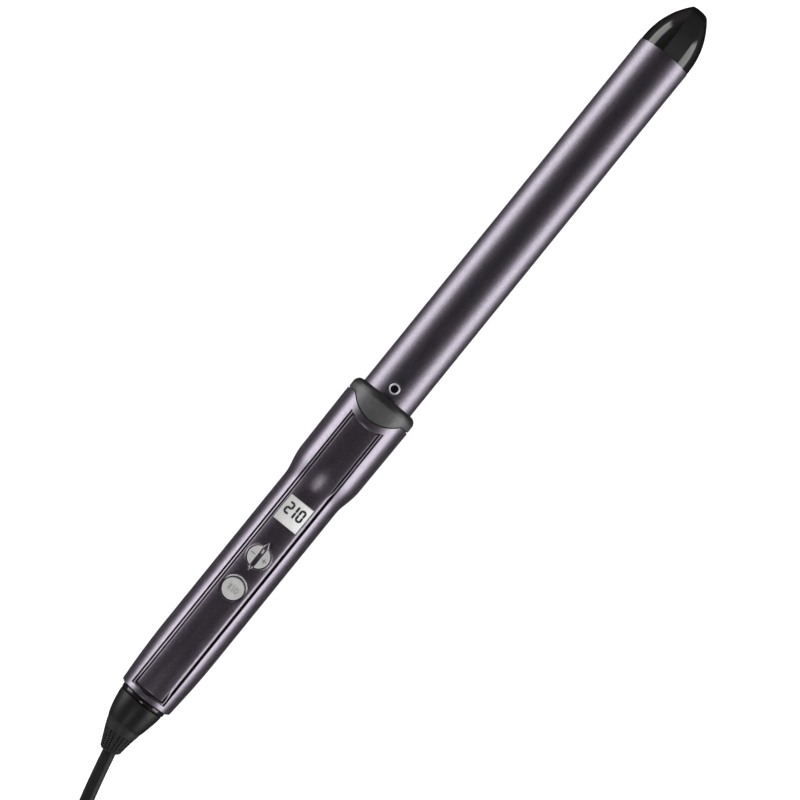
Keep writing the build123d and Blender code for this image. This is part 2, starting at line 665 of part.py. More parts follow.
def hank_outline(radius, waist):
    """Plan of the hank: two round ends and sides drawn in to the waist where the tie holds it."""
    half = HANK_STRAIGHT / 2
    tied = TIE_WIDTH / 2 + 1
    with BuildSketch() as outline:
        with BuildLine():
            for side in (-1, 1):
                Spline(
                    (HANK_CENTRE - half, side * radius),
                    (HANK_CENTRE - tied, side * waist),
                    tangents=((1, 0), (1, 0)),
                )
                Line((HANK_CENTRE - tied, side * waist), (HANK_CENTRE + tied, side * waist))
                Spline(
                    (HANK_CENTRE + tied, side * waist),
                    (HANK_CENTRE + half, side * radius),
                    tangents=((1, 0), (1, 0)),
                )
            ThreePointArc(
                (HANK_CENTRE - half, radius),
                (HANK_CENTRE - half - radius, 0),
                (HANK_CENTRE - half, -radius),
            )
            ThreePointArc(
                (HANK_CENTRE + half, radius),
                (HANK_CENTRE + half + radius, 0),
                (HANK_CENTRE + half, -radius),
            )
        make_face()
    return outline.sketch


def make_hank():
    waist = 2 * CORD_DIAMETER + 0.4
    with BuildPart() as cord_hank:
        add(prism(hank_outline(HANK_OUTER + CORD_RADIUS, waist), 0.0, HANK_HEIGHT))
        tied = (HANK_CENTRE - TIE_WIDTH / 2 - 0.5, HANK_CENTRE + TIE_WIDTH / 2 + 0.5)
        add(block(*tied, -waist, waist, HANK_HEIGHT, HANK_HEIGHT + TIE_LIFT))
        add(block(*tied, -20, 20, -1, TIE_LIFT), mode=Mode.SUBTRACT)
    finish(cord_hank.part, "cord_hank")
    inner = waist + 0.15
    low, high = TIE_THICKNESS, HANK_HEIGHT + TIE_LIFT + 0.15
    with BuildPart() as cord_tie:
        with BuildSketch(Plane.YZ.offset(HANK_CENTRE - TIE_WIDTH / 2)):
            with Locations((0, (high + TIE_THICKNESS) / 2)):
                RectangleRounded(2 * (inner + TIE_THICKNESS), high + TIE_THICKNESS, 1.3)
            with Locations((0, (high + low) / 2)):
                Rectangle(2 * inner, high - low, mode=Mode.SUBTRACT)
        extrude(amount=TIE_WIDTH)
    finish(cord_tie.part, "cord_tie")


# ---------------------------------------------------------------- plug
def make_plug():
    """A flat two-pin plug with its moulded strain relief."""
    with BuildPart() as plug_body:
        with BuildSketch(Plane.YZ.offset(PLUG_FACE)):
            with Locations((PLUG_Y, PLUG_AXIS)):
                RectangleRounded(PLUG_WIDTH, PLUG_HEIGHT, 5.5)
        extrude(amount=10)
        with BuildSketch(Plane.YZ.offset(PLUG_FACE + 10)):
            with Locations((PLUG_Y, PLUG_AXIS)):
                RectangleRounded(PLUG_WIDTH, PLUG_HEIGHT, 5.5)
        with BuildSketch(Plane.YZ.offset(PLUG_FACE + 27)):
            with Locations((PLUG_Y, PLUG_AXIS)):
                RectangleRounded(14.0, 11.0, 5.0)
        loft()
        with BuildSketch(Plane.YZ.offset(PLUG_FACE + 27)):
            with Locations((PLUG_Y, PLUG_AXIS)):
                Circle(4.9)
        with BuildSketch(Plane.YZ.offset(PLUG_TAIL)):
            with Locations((PLUG_Y, PLUG_AXIS)):
                Circle(4.0)
        loft()
        pocket = block(PLUG_FACE - 1, PLUG_FACE + 8, PLUG_Y - 12, PLUG_Y + 12, PLUG_AXIS - 3, PLUG_AXIS + 3)
        add(pocket, mode=Mode.SUBTRACT)
    finish(plug_body.part, "plug_body")
    pins_y = [PLUG_Y - PIN_SPACING / 2, PLUG_Y + PIN_SPACING / 2]
    with BuildPart() as plug_bridge:
        bridge_y = (PLUG_Y - 11.9, PLUG_Y + 11.9)
        add(block(PLUG_FACE, PLUG_FACE + 7.9, *bridge_y, PLUG_AXIS - 2.9, PLUG_AXIS + 2.9))
        for y in pins_y:
            add(axial(PLUG_FACE - 1, PLUG_FACE + 6.0, PIN_CORE + 0.05, y=y, z=PLUG_AXIS), mode=Mode.SUBTRACT)
    finish(plug_bridge.part, "plug_bridge")
    with BuildPart() as plug_pins:
        for y in pins_y:
            add(axial(PLUG_FACE - SLEEVE_LENGTH, PLUG_FACE + 5.9, PIN_CORE, y=y, z=PLUG_AXIS))
            add(axial(PLUG_FACE - PIN_LENGTH, PLUG_FACE - SLEEVE_LENGTH, PIN_RADIUS, y=y, z=PLUG_AXIS))
        fillet(plug_pins.edges().group_by(Axis.X)[0], 0.8)
    finish(plug_pins.part, "plug_pins")
    with BuildPart() as plug_sleeves:
        for y in pins_y:
            add(axial(PLUG_FACE - SLEEVE_LENGTH + 0.05, PLUG_FACE - 0.02, SLEEVE_RADIUS, y=y, z=PLUG_AXIS))
            bore = axial(PLUG_FACE - SLEEVE_LENGTH, PLUG_FACE, PIN_CORE + 0.02, y=y, z=PLUG_AXIS)
            add(bore, mode=Mode.SUBTRACT)
    finish(plug_sleeves.part, "plug_sleeves")


make_barrel_tube()
make_barrel_eyelet()
make_cool_tip()
make_barrel_socket()
make_heater()
make_barrel_leads()
make_nose_collar()
make_top_shell()
make_bottom_shell()
make_control_panel()
make_panel_trim()
make_display()
make_buttons()
make_board()
make_swivel()
make_cord_boot()
make_cord_tube(LEAD_ROUTE, "cord_lead")
make_hank()
make_cord_tube(TAIL_ROUTE, "cord_tail")
make_plug()
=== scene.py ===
"""Looks of a curling iron with an inlaid control panel and a swivel lead.

X runs along the barrel towards the cool tip, Z is up out of the control panel and Y is to the side of
the minus key. Shapes are worked out in millimetres and stored in metres. The mains lead's points are in
metres from the start.
"""

from functools import cache
from math import asin, atan2, copysign, cos, hypot, pi, radians, sin, sqrt, tan

import bmesh
import bpy
from mathutils import Matrix, Vector


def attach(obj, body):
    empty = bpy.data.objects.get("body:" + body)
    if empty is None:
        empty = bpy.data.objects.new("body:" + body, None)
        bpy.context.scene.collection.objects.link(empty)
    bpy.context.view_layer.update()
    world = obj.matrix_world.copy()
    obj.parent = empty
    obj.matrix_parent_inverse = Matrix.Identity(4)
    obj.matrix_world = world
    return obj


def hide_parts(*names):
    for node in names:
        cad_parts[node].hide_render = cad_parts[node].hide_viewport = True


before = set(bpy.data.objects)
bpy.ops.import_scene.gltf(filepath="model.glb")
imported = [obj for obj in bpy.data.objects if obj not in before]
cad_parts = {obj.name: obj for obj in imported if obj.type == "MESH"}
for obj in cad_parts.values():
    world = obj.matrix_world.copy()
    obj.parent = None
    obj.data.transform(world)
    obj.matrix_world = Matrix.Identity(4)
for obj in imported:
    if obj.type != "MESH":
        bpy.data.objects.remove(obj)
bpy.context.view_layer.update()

MM = 0.001
JOIN = 2e-6  # points this near to each other, in metres, become one
CLOSED = 0.001  # a radius so small that joining its points closes a turned shape
AXIS = 15.6  # height of the barrel's axis

# ---------------------------------------------------------------- the handle's form
HEAD_FRONT = -16.7
COLLAR_FRONT = -10.5
COLLAR_RADIUS = 16.1
HANDLE_END = -174.9
BARREL_END = 178.0
BARREL_RADIUS = 12.58
SHOULDER_REAR = -62.5
SHOULDER_FRONT = -48.5
GRIP_HALF = 14.0
HEAD_HALF = 16.27
GRIP_CROWN = 15.4  # radius of the panel's crown
HEAD_CROWN = 18.2
TAIL_FRONT = -146.0  # behind this the handle's sides and underside are drawn in
HALF_SPLIT = 0.05  # each shell ends this far from the axis's level
SEAM_GAP = 0.5
ARC_CENTRE_X = -7.0
TONGUE_ARC = 15.7
PANEL_ARC = 18.9
PANEL_REAR = -172.4
PANEL_HALF = 8.8
STRIP_HALF = 6.7
LEDGE_DEPTH = 1.5
SIDE_COUNT = 41  # points from the panel's edge to the split


def smooth(share):
    share = min(max(share, 0.0), 1.0)
    return share * share * (3 - 2 * share)


def lerp(a, b, share):
    return a + (b - a) * share


def spread(low, high, count):
    """Evenly spaced values from low to high, over count steps."""
    return [lerp(low, high, k / count) for k in range(count + 1)]


def full_turn(count):
    """The angles of count points round a circle."""
    return [2 * pi * k / count for k in range(count)]


def turned(angle, radius, x=0.0, y=0.0):
    """A point on a circle round (x, y)."""
    return x + radius * cos(angle), y + radius * sin(angle)


def read_curve(table, at):
    """Values at a place in a table of (place, value, ...) rows, by a cubic through the neighbouring rows."""
    last = len(table) - 1
    i = max(k for k in range(last) if table[k][0] <= at + 1e-9)
    a, b = table[i], table[i + 1]
    before, after = table[max(i - 1, 0)], table[min(i + 2, last)]
    span = b[0] - a[0]
    share = (at - a[0]) / span
    cube = 2 * share**3 - 3 * share**2 + 1
    first = (share**3 - 2 * share**2 + share) * span
    second = (share**3 - share**2) * span
    values = []
    for k in range(1, len(a)):
        slope_a = (b[k] - before[k]) / (b[0] - before[0])
        slope_b = (after[k] - a[k]) / (after[0] - a[0])
        values.append(cube * a[k] + first * slope_a + (1 - cube) * b[k] + second * slope_b)
    return values


def headness(x):
    """1 over the head, 0 along the grip. The shoulder starts sharply and eases into the head."""
    share = min(max((x - SHOULDER_REAR) / (SHOULDER_FRONT - SHOULDER_REAR), 0.0), 1.0)
    return smooth(1 - (1 - share) ** 1.3)


def tail(x):
    """How far the handle's rear end is drawn in, before scaling."""
    return max(0.0, TAIL_FRONT - x) ** 1.7


def half_width(x):
    head = HEAD_HALF - 0.01 * (HEAD_FRONT - x)
    return lerp(GRIP_HALF, head, headness(x)) - 0.0042 * tail(x)


def crown_height(x, y):
    """The panel strip's surface above the axis."""
    crown = lerp(GRIP_CROWN, HEAD_CROWN, headness(x))
    return half_width(x) - 0.1 - crown + sqrt(crown**2 - y**2)


def steepness(share):
    """Sine of the surface's tilt at a share of the half width: a circle's, but steeper down the sides."""
    extra = 0.075 * smooth((share - 0.64) / 0.22) * (1 - smooth((share - 0.90) / 0.10))
    return min(share + extra, 0.9995)


FALL_STEPS = 1000
FALL = [0.0]
for step_number in range(FALL_STEPS):
    tilt = steepness((step_number + 0.5) / FALL_STEPS)
    FALL.append(FALL[-1] + tilt / sqrt(1 - tilt**2) / FALL_STEPS)


def fall(share):
    """How far the handle's surface has fallen below its top, in half widths."""
    place = min(max(share, 0.0), 1.0) * FALL_STEPS
    index = min(int(place), FALL_STEPS - 1)
    return lerp(FALL[index], FALL[index + 1], place - index)


def frame_height(x, y):
    """The handle's upper surface above the axis."""
    wide = half_width(x)
    return crown_height(x, PANEL_HALF) + 0.05 + wide * (fall(PANEL_HALF / wide) - fall(abs(y) / wide))


@cache
def side_profile(x):
    """The upper surface of one side from the panel's edge to the split, as evenly spaced (y, z)."""
    wide = half_width(x)
    walk = []
    for y in spread(PANEL_HALF, wide, 400):
        z = frame_height(x, y)
        if z < HALF_SPLIT:
            y0, z0 = walk[-1]
            walk.append((lerp(y0, y, (z0 - HALF_SPLIT) / (z0 - z)), HALF_SPLIT))
            break
        walk.append((y, z))
    else:
        walk.append((wide, HALF_SPLIT))
    lengths = [0.0]
    for (y0, z0), (y1, z1) in zip(walk, walk[1:]):
        lengths.append(lengths[-1] + hypot(y1 - y0, z1 - z0))
    points = []
    index = 0
    for target in spread(0.0, lengths[-1], SIDE_COUNT - 1):
        while index < len(walk) - 2 and lengths[index + 1] < target:
            index += 1
        share = (target - lengths[index]) / (lengths[index + 1] - lengths[index])
        points.append(tuple(lerp(a, b, share) for a, b in zip(walk[index], walk[index + 1])))
    return points


def seam_x(y):
    """The seam between the collar with its tongue and the shells, blended where the arc meets the ring."""
    reach = sqrt(TONGUE_ARC**2 - y**2) if abs(y) < TONGUE_ARC else 0.0
    over = HEAD_FRONT - (ARC_CENTRE_X - reach)
    blend = 0.3
    return HEAD_FRONT - (over + hypot(over, blend)) / 2 + 0.1


def arc_x(y, radius):
    """Where an arc of the panel's front end crosses y."""
    return ARC_CENTRE_X - sqrt(radius**2 - y**2)


# ---------------------------------------------------------------- mesh helpers
class Shape:
    """Collects patches of points and faces, in millimetres."""

    def __init__(self):
        self.verts = []
        self.faces = []

    def grid(self, rows, close_u=False, close_v=False):
        """Quads over rows of points. close_u joins each row's ends, close_v the last row to the first."""
        start = len(self.verts)
        count = len(rows[0])
        for row in rows:
            self.verts += row
        for i in range(len(rows) - (0 if close_v else 1)):
            near, far = start + i * count, start + (i + 1) % len(rows) * count
            for j in range(count - (0 if close_u else 1)):
                k = (j + 1) % count
                self.faces.append((near + j, near + k, far + k, far + j))
        return self

    def cap(self, ring):
        """One flat face over a closed ring."""
        start = len(self.verts)
        self.verts += ring
        self.faces.append(tuple(range(start, start + len(ring))))
        return self

    def solid(self, rows):
        """Closed rings with a flat face over the first and over the last."""
        return self.grid(rows, close_u=True).cap(rows[0][::-1]).cap(rows[-1])

    def lathe(self, profile, segments, axis="x", x=0.0):
        """Turns a closed profile of (along, radius) about the barrel's axis, or about an upright one at x."""
        turns = full_turn(segments)
        rows = []
        for along, radius in profile:
            if axis == "x":
                rows.append([(along, *turned(turn, radius, 0.0, AXIS)) for turn in turns])
            else:
                rows.append([(*turned(turn, radius, x), along) for turn in turns])
        return self.grid(rows, close_u=True, close_v=True)

    def box(self, low, high):
        x0, y0, z0 = low
        x1, y1, z1 = high
        return self.solid([[(x0, y0, z), (x1, y0, z), (x1, y1, z), (x0, y1, z)] for z in (z0, z1)])


def make_mesh(name, shape):
    """A mesh in metres, with its patches joined and its faces turned outwards."""
    mesh = bpy.data.meshes.new(name)
    mesh.from_pydata([(x * MM, y * MM, z * MM) for x, y, z in shape.verts], [], shape.faces)
    clean = bmesh.new()
    clean.from_mesh(mesh)
    bmesh.ops.remove_doubles(clean, verts=clean.verts, dist=JOIN)
    bmesh.ops.dissolve_degenerate(clean, edges=clean.edges, dist=1e-7)
    bmesh.ops.recalc_face_normals(clean, faces=clean.faces)
    clean.to_mesh(mesh)
    clean.free()
    return mesh


def add_object(name, data):
    """Puts a mesh, curve or camera into the scene."""
    made = bpy.data.objects.new(name, data)
    bpy.context.scene.collection.objects.link(made)
    return made


def store(name, shape, material, body, replaced=(), sharp=32):
    """Makes a piece from a shape, with smooth shading that breaks at sharp edges."""
    mesh = make_mesh(name, shape)
    mesh.shade_smooth()
    mesh.set_sharp_from_angle(angle=radians(sharp))
    mesh.materials.append(material)
    piece = add_object(name, mesh)
    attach(piece, body)
    if replaced:
        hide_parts(*replaced)
    return piece


def line_with(piece, material, inside):
    """Gives the faces for which inside(x, y, z), in millimetres, is true a second material."""
    piece.data.materials.append(material)
    number = len(piece.data.materials) - 1
    for face in piece.data.polygons:
        if inside(*(face.center / MM)):
            face.material_index = number
    return piece


def apply_modifiers(piece, sharp=32):
    """Bakes a piece's modifiers into its mesh."""
    bpy.context.view_layer.update()
    graph = bpy.context.evaluated_depsgraph_get()
    mesh = bpy.data.meshes.new_from_object(piece.evaluated_get(graph))
    old = piece.data
    piece.modifiers.clear()
    piece.data = mesh
    mesh.name = piece.name
    bpy.data.meshes.remove(old)
    mesh.set_sharp_from_angle(angle=radians(sharp))
    return piece


def cut(piece, shapes):
    """Cuts closed shapes out of a piece."""
    cutters = [add_object("cutter", make_mesh("cutter", shape)) for shape in shapes]
    for cutter in cutters:
        boolean = piece.modifiers.new("cut", "BOOLEAN")
        boolean.operation = "DIFFERENCE"
        boolean.solver = "EXACT"
        boolean.object = cutter
    apply_modifiers(piece)
    for cutter in cutters:
        mesh = cutter.data
        bpy.data.objects.remove(cutter)
        bpy.data.meshes.remove(mesh)
    return piece


def drill(x, radius, low, high, segments=48):
    """An upright round cutter on the middle line."""
    profile = [(low, CLOSED), (low, radius), (high, radius), (high, CLOSED)]
    return Shape().lathe(profile, segments, "z", x)


def thicken(piece, thickness):
    """Gives an open skin its inner side."""
    solidify = piece.modifiers.new("wall", "SOLIDIFY")
    solidify.thickness = thickness * MM
    solidify.offset = -1
    solidify.use_even_offset = False
    return apply_modifiers(piece)


# ---------------------------------------------------------------- material helpers
class Nodes:
    """Makes and joins the nodes of a tree."""

    def __init__(self, tree):
        self.tree = tree

    def node(self, kind, **values):
        made = self.tree.nodes.new(kind)
        for key, value in values.items():
            setattr(made, key, value)
        return made

    def join(self, source, target):
        self.tree.links.new(source, target)

    def feed(self, sockets, values):
        """Gives each socket an output to read or a fixed value."""
        for socket, value in zip(sockets, values):
            if hasattr(value, "is_output"):
                self.join(value, socket)
            elif value is not None:
                socket.default_value = value

    def math(self, operation, a, b=None):
        made = self.node("ShaderNodeMath", operation=operation)
        self.feed(made.inputs, (a, b))
        return made.outputs["Value"]

    def ramp(self, source, low, high, to_low, to_high, kind="LINEAR"):
        """Maps a range onto another, held at its ends."""
        made = self.node("ShaderNodeMapRange", interpolation_type=kind)
        names = ("Value", "From Min", "From Max", "To Min", "To Max")
        self.feed([made.inputs[name] for name in names], (source, low, high, to_low, to_high))
        return made.outputs["Result"]


class Paint(Nodes):
    """A principled material and its node tree."""

    def __init__(self, name, color, roughness, metallic=0.0, **sockets):
        self.material = bpy.data.materials.new(name)
        self.material.use_nodes = True
        super().__init__(self.material.node_tree)
        self.shader = self.tree.nodes["Principled BSDF"]
        self.set("Base Color", (*color, 1.0))
        self.set("Roughness", roughness)
        self.set("Metallic", metallic)
        for socket, value in sockets.items():
            self.set(socket.replace("_", " "), value)
        self.place = self.node("ShaderNodeTexCoord").outputs["Object"]

    def set(self, socket, value):
        self.shader.inputs[socket].default_value = value

    def noise(self, scale, detail=3.0, roughness=0.5, stretch=None):
        """Noise whose features are about 1 / scale metres wide."""
        made = self.node("ShaderNodeTexNoise")
        sockets = [made.inputs[name] for name in ("Scale", "Detail", "Roughness")]
        self.feed(sockets, (scale, detail, roughness))
        place = self.place
        if stretch:
            mapping = self.node("ShaderNodeMapping")
            mapping.inputs["Scale"].default_value = stretch
            self.join(self.place, mapping.inputs["Vector"])
            place = mapping.outputs["Vector"]
        self.join(place, made.inputs["Vector"])
        return made.outputs["Fac"]

    def mottle(self, scale, detail, roughness, to_low=0.0, to_high=1.0):
        """Noise whose middle range is spread from to_low to to_high."""
        return self.ramp(self.noise(scale, detail, roughness), 0.3, 0.7, to_low, to_high)

    def cells(self, scale):
        """A random shade for each cell of a fine mosaic."""
        made = self.node("ShaderNodeTexVoronoi")
        made.inputs["Scale"].default_value = scale
        self.join(self.place, made.inputs["Vector"])
        return made

    def blend(self, share, first, second):
        """Mixes two colours by a share between 0 and 1."""
        made = self.node("ShaderNodeMix", data_type="RGBA")
        colors = [(*value, 1.0) if isinstance(value, tuple) else value for value in (first, second)]
        self.feed((made.inputs["Factor"], made.inputs[6], made.inputs[7]), (share, *colors))
        return made.outputs[2]

    def axis(self, letter):
        made = self.node("ShaderNodeSeparateXYZ")
        self.join(self.place, made.inputs["Vector"])
        return made.outputs[letter]

    def color(self, source):
        self.join(source, self.shader.inputs["Base Color"])

    def rough(self, source):
        self.join(source, self.shader.inputs["Roughness"])

    def bump(self, source, height, before=None):
        """Relief of a given height in millimetres."""
        made = self.node("ShaderNodeBump")
        sockets = [made.inputs[name] for name in ("Strength", "Distance", "Height", "Normal")]
        self.feed(sockets, (1.0, height * MM, source, before))
        self.join(made.outputs["Normal"], self.shader.inputs["Normal"])
        return made.outputs["Normal"]


def metallic_lacquer(name, base, shade, sparkle, roughness, metallic=1.0):
    """Satin lilac-grey lacquer: fine aluminium flake, a few bright flakes and a slightly uneven sheen."""
    paint = Paint(name, base, roughness, metallic=metallic)
    flake = paint.cells(8000)
    separate = paint.node("ShaderNodeSeparateColor")
    paint.join(flake.outputs["Color"], separate.inputs["Color"])
    bright = paint.ramp(separate.outputs["Red"], 0.95, 1.0, 0.0, sparkle)
    grain = paint.ramp(paint.noise(1500, 2.5, 0.7), 0.34, 0.66, 0.0, 1.0)
    toned = paint.blend(grain, shade, base)
    paint.color(paint.blend(bright, toned, (0.80, 0.78, 0.83)))
    paint.rough(paint.mottle(900, 3, 0.6, roughness - 0.02, roughness + 0.02))
    first = paint.bump(paint.noise(2600, 2, 0.6), 0.004)
    paint.bump(separate.outputs["Green"], 0.003, first)
    return paint.material


def moulded_paint(name, color, roughness, grain=2200, relief=0.006, variation=0.15, metallic=0.0, **sockets):
    """Moulded plastic or rubber with a fine grain, faint mottling and uneven gloss."""
    paint = Paint(name, color, roughness, metallic=metallic, **sockets)
    dark = tuple(c * (1 - variation) for c in color)
    light = tuple(min(1.0, c * (1 + variation)) for c in color)
    paint.color(paint.blend(paint.mottle(260, 4, 0.6), dark, light))
    paint.rough(paint.mottle(700, 3, 0.6, roughness * 0.88, min(1.0, roughness * 1.12)))
    paint.bump(paint.noise(grain, 2, 0.6), relief)
    return paint


def moulded(name, *values, **sockets):
    """The material alone, for plastics that need nothing more."""
    return moulded_paint(name, *values, **sockets).material


def painted_shade_along(paint, dark, light, start, end, painted_shade_color):
    """Mottling from dark to light, which goes over to a painted shade colour between two places along the
    object.
    """
    body = paint.blend(paint.mottle(420, 4, 0.65), dark, light)
    share = paint.ramp(paint.axis("X"), start * MM, end * MM, 0.0, 1.0)
    paint.color(paint.blend(share, body, painted_shade_color))
    return paint.material


def collar_material():
    """Soft-touch dark grey, with painted shade: a darker tone round the front edge."""
    paint = moulded_paint("collar_plastic", (0.05, 0.05, 0.049), 0.45, 2600, 0.012, 0.12)
    dark, light = (0.040, 0.041, 0.040), (0.058, 0.059, 0.057)
    return painted_shade_along(paint, dark, light, -14.3, -13.3, (0.012, 0.012, 0.011))


def flat_material():
    """Satin black on the tip's flats, with painted shade: darker towards the end."""
    paint = moulded_paint("black_satin", (0.012, 0.012, 0.011), 0.42, 2600, 0.003, 0.2, Specular_Tint=NEUTRAL)
    dark, light = (0.012, 0.0125, 0.012), (0.016, 0.0165, 0.016)
    return painted_shade_along(paint, dark, light, 182, 200, (0.003, 0.003, 0.0025))


def metal(name, color, roughness, stretch=(1, 1, 1), relief=0.001):
    """Bright metal with fine lines or grain."""
    paint = Paint(name, color, roughness, metallic=1.0)
    lines = paint.noise(2600, 3, 0.6, stretch)
    shade = tuple(c * 0.82 for c in color)
    paint.color(paint.blend(paint.ramp(lines, 0.3, 0.7, 0.0, 1.0), shade, color))
    paint.rough(paint.ramp(lines, 0.3, 0.7, roughness * 0.8, roughness * 1.2))
    paint.bump(lines, relief)
    return paint.material


def display_material():
    """Silver-grey display under a clear front: paler towards one side, with a soft band and fine cells."""
    paint = Paint("display_face", (0.5, 0.5, 0.5), 0.32, Coat_Weight=0.4, Coat_Roughness=0.05)
    across = paint.ramp(paint.axis("Y"), -6.2 * MM, 6.2 * MM, 1.0, 0.0)
    cells = paint.mottle(1500, 2, 0.5)
    pale = paint.blend(cells, (0.70, 0.695, 0.69), (0.76, 0.755, 0.75))
    deep = paint.blend(cells, (0.39, 0.388, 0.382), (0.44, 0.437, 0.43))
    toned = paint.blend(across, deep, pale)
    streak = paint.noise(240, 3, 0.6, (0.15, 1, 1))
    paint.color(paint.blend(paint.ramp(streak, 0.52, 0.68, 0.0, 0.35), toned, (0.40, 0.40, 0.39)))
    paint.bump(paint.noise(600, 2, 0.5), 0.001)
    return paint.material


def tie_material():
    """Woven hook-and-loop tape: fine ribs along the tape and a soft nap."""
    paint = Paint("tie_fabric", (0.016, 0.016, 0.017), 0.85, Sheen_Weight=0.35, Sheen_Roughness=0.4)
    wave = paint.node("ShaderNodeTexWave", bands_direction="X")
    wave.inputs["Scale"].default_value = 420
    wave.inputs["Distortion"].default_value = 0.6
    paint.join(paint.place, wave.inputs["Vector"])
    nap = paint.noise(2600, 3, 0.7)
    paint.color(paint.blend(paint.ramp(nap, 0.3, 0.7, 0, 1), (0.010, 0.010, 0.011), (0.030, 0.030, 0.032)))
    paint.bump(paint.math("ADD", wave.outputs["Fac"], nap), 0.08)
    return paint.material


NEUTRAL = (1.0, 0.985, 0.985, 1.0)  # keeps the gloss of the black plastics neutral under the lilac studio
barrel_paint = metallic_lacquer("barrel_lacquer", (0.190, 0.170, 0.203), (0.152, 0.136, 0.163), 0.35, 0.41)
shell_paint = metallic_lacquer("shell_lacquer", (0.208, 0.185, 0.222), (0.168, 0.149, 0.180), 0.35, 0.40)
panel_paint = metallic_lacquer("panel_lacquer", (0.190, 0.163, 0.197), (0.150, 0.128, 0.155), 0.5, 0.34, 0.96)
bar_paint = metallic_lacquer("bar_lacquer", (0.34, 0.315, 0.355), (0.28, 0.26, 0.29), 0.2, 0.36)
gloss = {"Specular_IOR_Level": 0.38, "Specular_Tint": NEUTRAL}
black_gloss = moulded("black_gloss", (0.007, 0.007, 0.006), 0.09, 900, 0.0006, 0.2, **gloss)
black_satin = flat_material()
collar_plastic = collar_material()
# Painted shade: a near-black laid on the insides of grooves, slots, holes and seams, where light does not
# reach
painted_recess_shade = moulded("painted_recess_shade", (0.010, 0.009, 0.010), 0.65, 2200, 0.01, 0.2)
boot_rubber = moulded("boot_rubber", (0.0055, 0.0055, 0.005), 0.42, 2200, 0.005, 0.2, Specular_IOR_Level=0.24)
boot_sleeve = moulded("boot_sleeve", (0.014, 0.014, 0.0135), 0.5, 2400, 0.006, 0.15, Specular_IOR_Level=0.25)
cord_rubber = moulded("cord_rubber", (0.006, 0.006, 0.0055), 0.5, 1500, 0.008, 0.2, Specular_IOR_Level=0.2)
plug_rubber = moulded("plug_rubber", (0.014, 0.014, 0.013), 0.36, 1800, 0.008, 0.2)
button_plastic = moulded("button_plastic", (0.365, 0.360, 0.358), 0.42, 2400, 0.006, 0.05)
mark_grey = moulded("mark_grey", (0.13, 0.131, 0.13), 0.5, 2400, 0.004, 0.08)
sleeve_plastic = moulded("sleeve_plastic", (0.02, 0.02, 0.02), 0.45, 1800, 0.005, 0.15)
white_plastic = moulded("white_plastic", (0.62, 0.61, 0.57), 0.5, 1800, 0.006, 0.06)
board_green = moulded("board_green", (0.03, 0.16, 0.07), 0.35, 900, 0.01, 0.25)
film_yellow = moulded("film_yellow", (0.62, 0.42, 0.08), 0.35, 900, 0.01, 0.1)
lead_silicone = moulded("lead_silicone", (0.5, 0.48, 0.42), 0.6, 1500, 0.02, 0.1)
segment_ink = moulded("segment_ink", (0.012, 0.013, 0.013), 0.5, 2000, 0.001, 0.2)
eyelet_steel = moulded("eyelet_steel", (0.56, 0.52, 0.58), 0.34, 2600, 0.003, 0.1, metallic=0.55)
screw_steel = metal("screw_steel", (0.55, 0.55, 0.55), 0.3)
pin_nickel = metal("pin_nickel", (0.70, 0.68, 0.63), 0.2, (0.15, 1, 1))
brass = metal("brass", (0.72, 0.52, 0.22), 0.25)
aluminium = metal("aluminium", (0.72, 0.72, 0.74), 0.35, (0.1, 1, 1))
display_face = display_material()
tie_fabric = tie_material()

# ---------------------------------------------------------------- camera, lights and floor
CAMERA_TURN = radians(51.0)
CAMERA_TILT = radians(1.15)
CAMERA_DISTANCE = 1.494
AIM = Vector((-7.7, -4.7, AXIS)) * MM
SOFTBOX_LOW = -6  # degrees above the floor, as seen along the iron
SOFTBOX_HIGH = 27
SOFTBOX_LEVEL = 5.4
SOFTBOX_FAR = 0.01  # what is left of the softboxes beyond their ends
LAMP_LEAN = radians(33.5)
LAMP_CORE = radians(5)
LAMP_RIM = radians(10)
LAMP_LEVEL = 7.0
HALO_LEVEL = 0.25
DARK_LEVEL = 0.015
DOME_LEVEL = 1.25
DOME_SLOPE = 0.6
BRIGHT_TINT = (1.0, 1.035, 1.0, 1.0)
SURROUND_TINT = (1.07, 0.88, 1.14, 1.0)


def make_camera():
    """Overhead, turned so that the iron lies across the picture from lower left to upper right."""
    back = Vector((-sin(CAMERA_TILT), 0, cos(CAMERA_TILT)))
    right = Vector((cos(CAMERA_TURN), -sin(CAMERA_TURN), 0))
    right = (right - back * right.dot(back)).normalized()
    turn = Matrix((right, back.cross(right), back)).transposed().to_4x4()
    data = bpy.data.cameras.new("camera")
    data.lens = 157.0
    data.sensor_width = 36.0
    data.clip_end = 20.0
    camera = add_object("camera", data)
    camera.matrix_world = Matrix.Translation(AIM + back * CAMERA_DISTANCE) @ turn
    bpy.context.scene.camera = camera


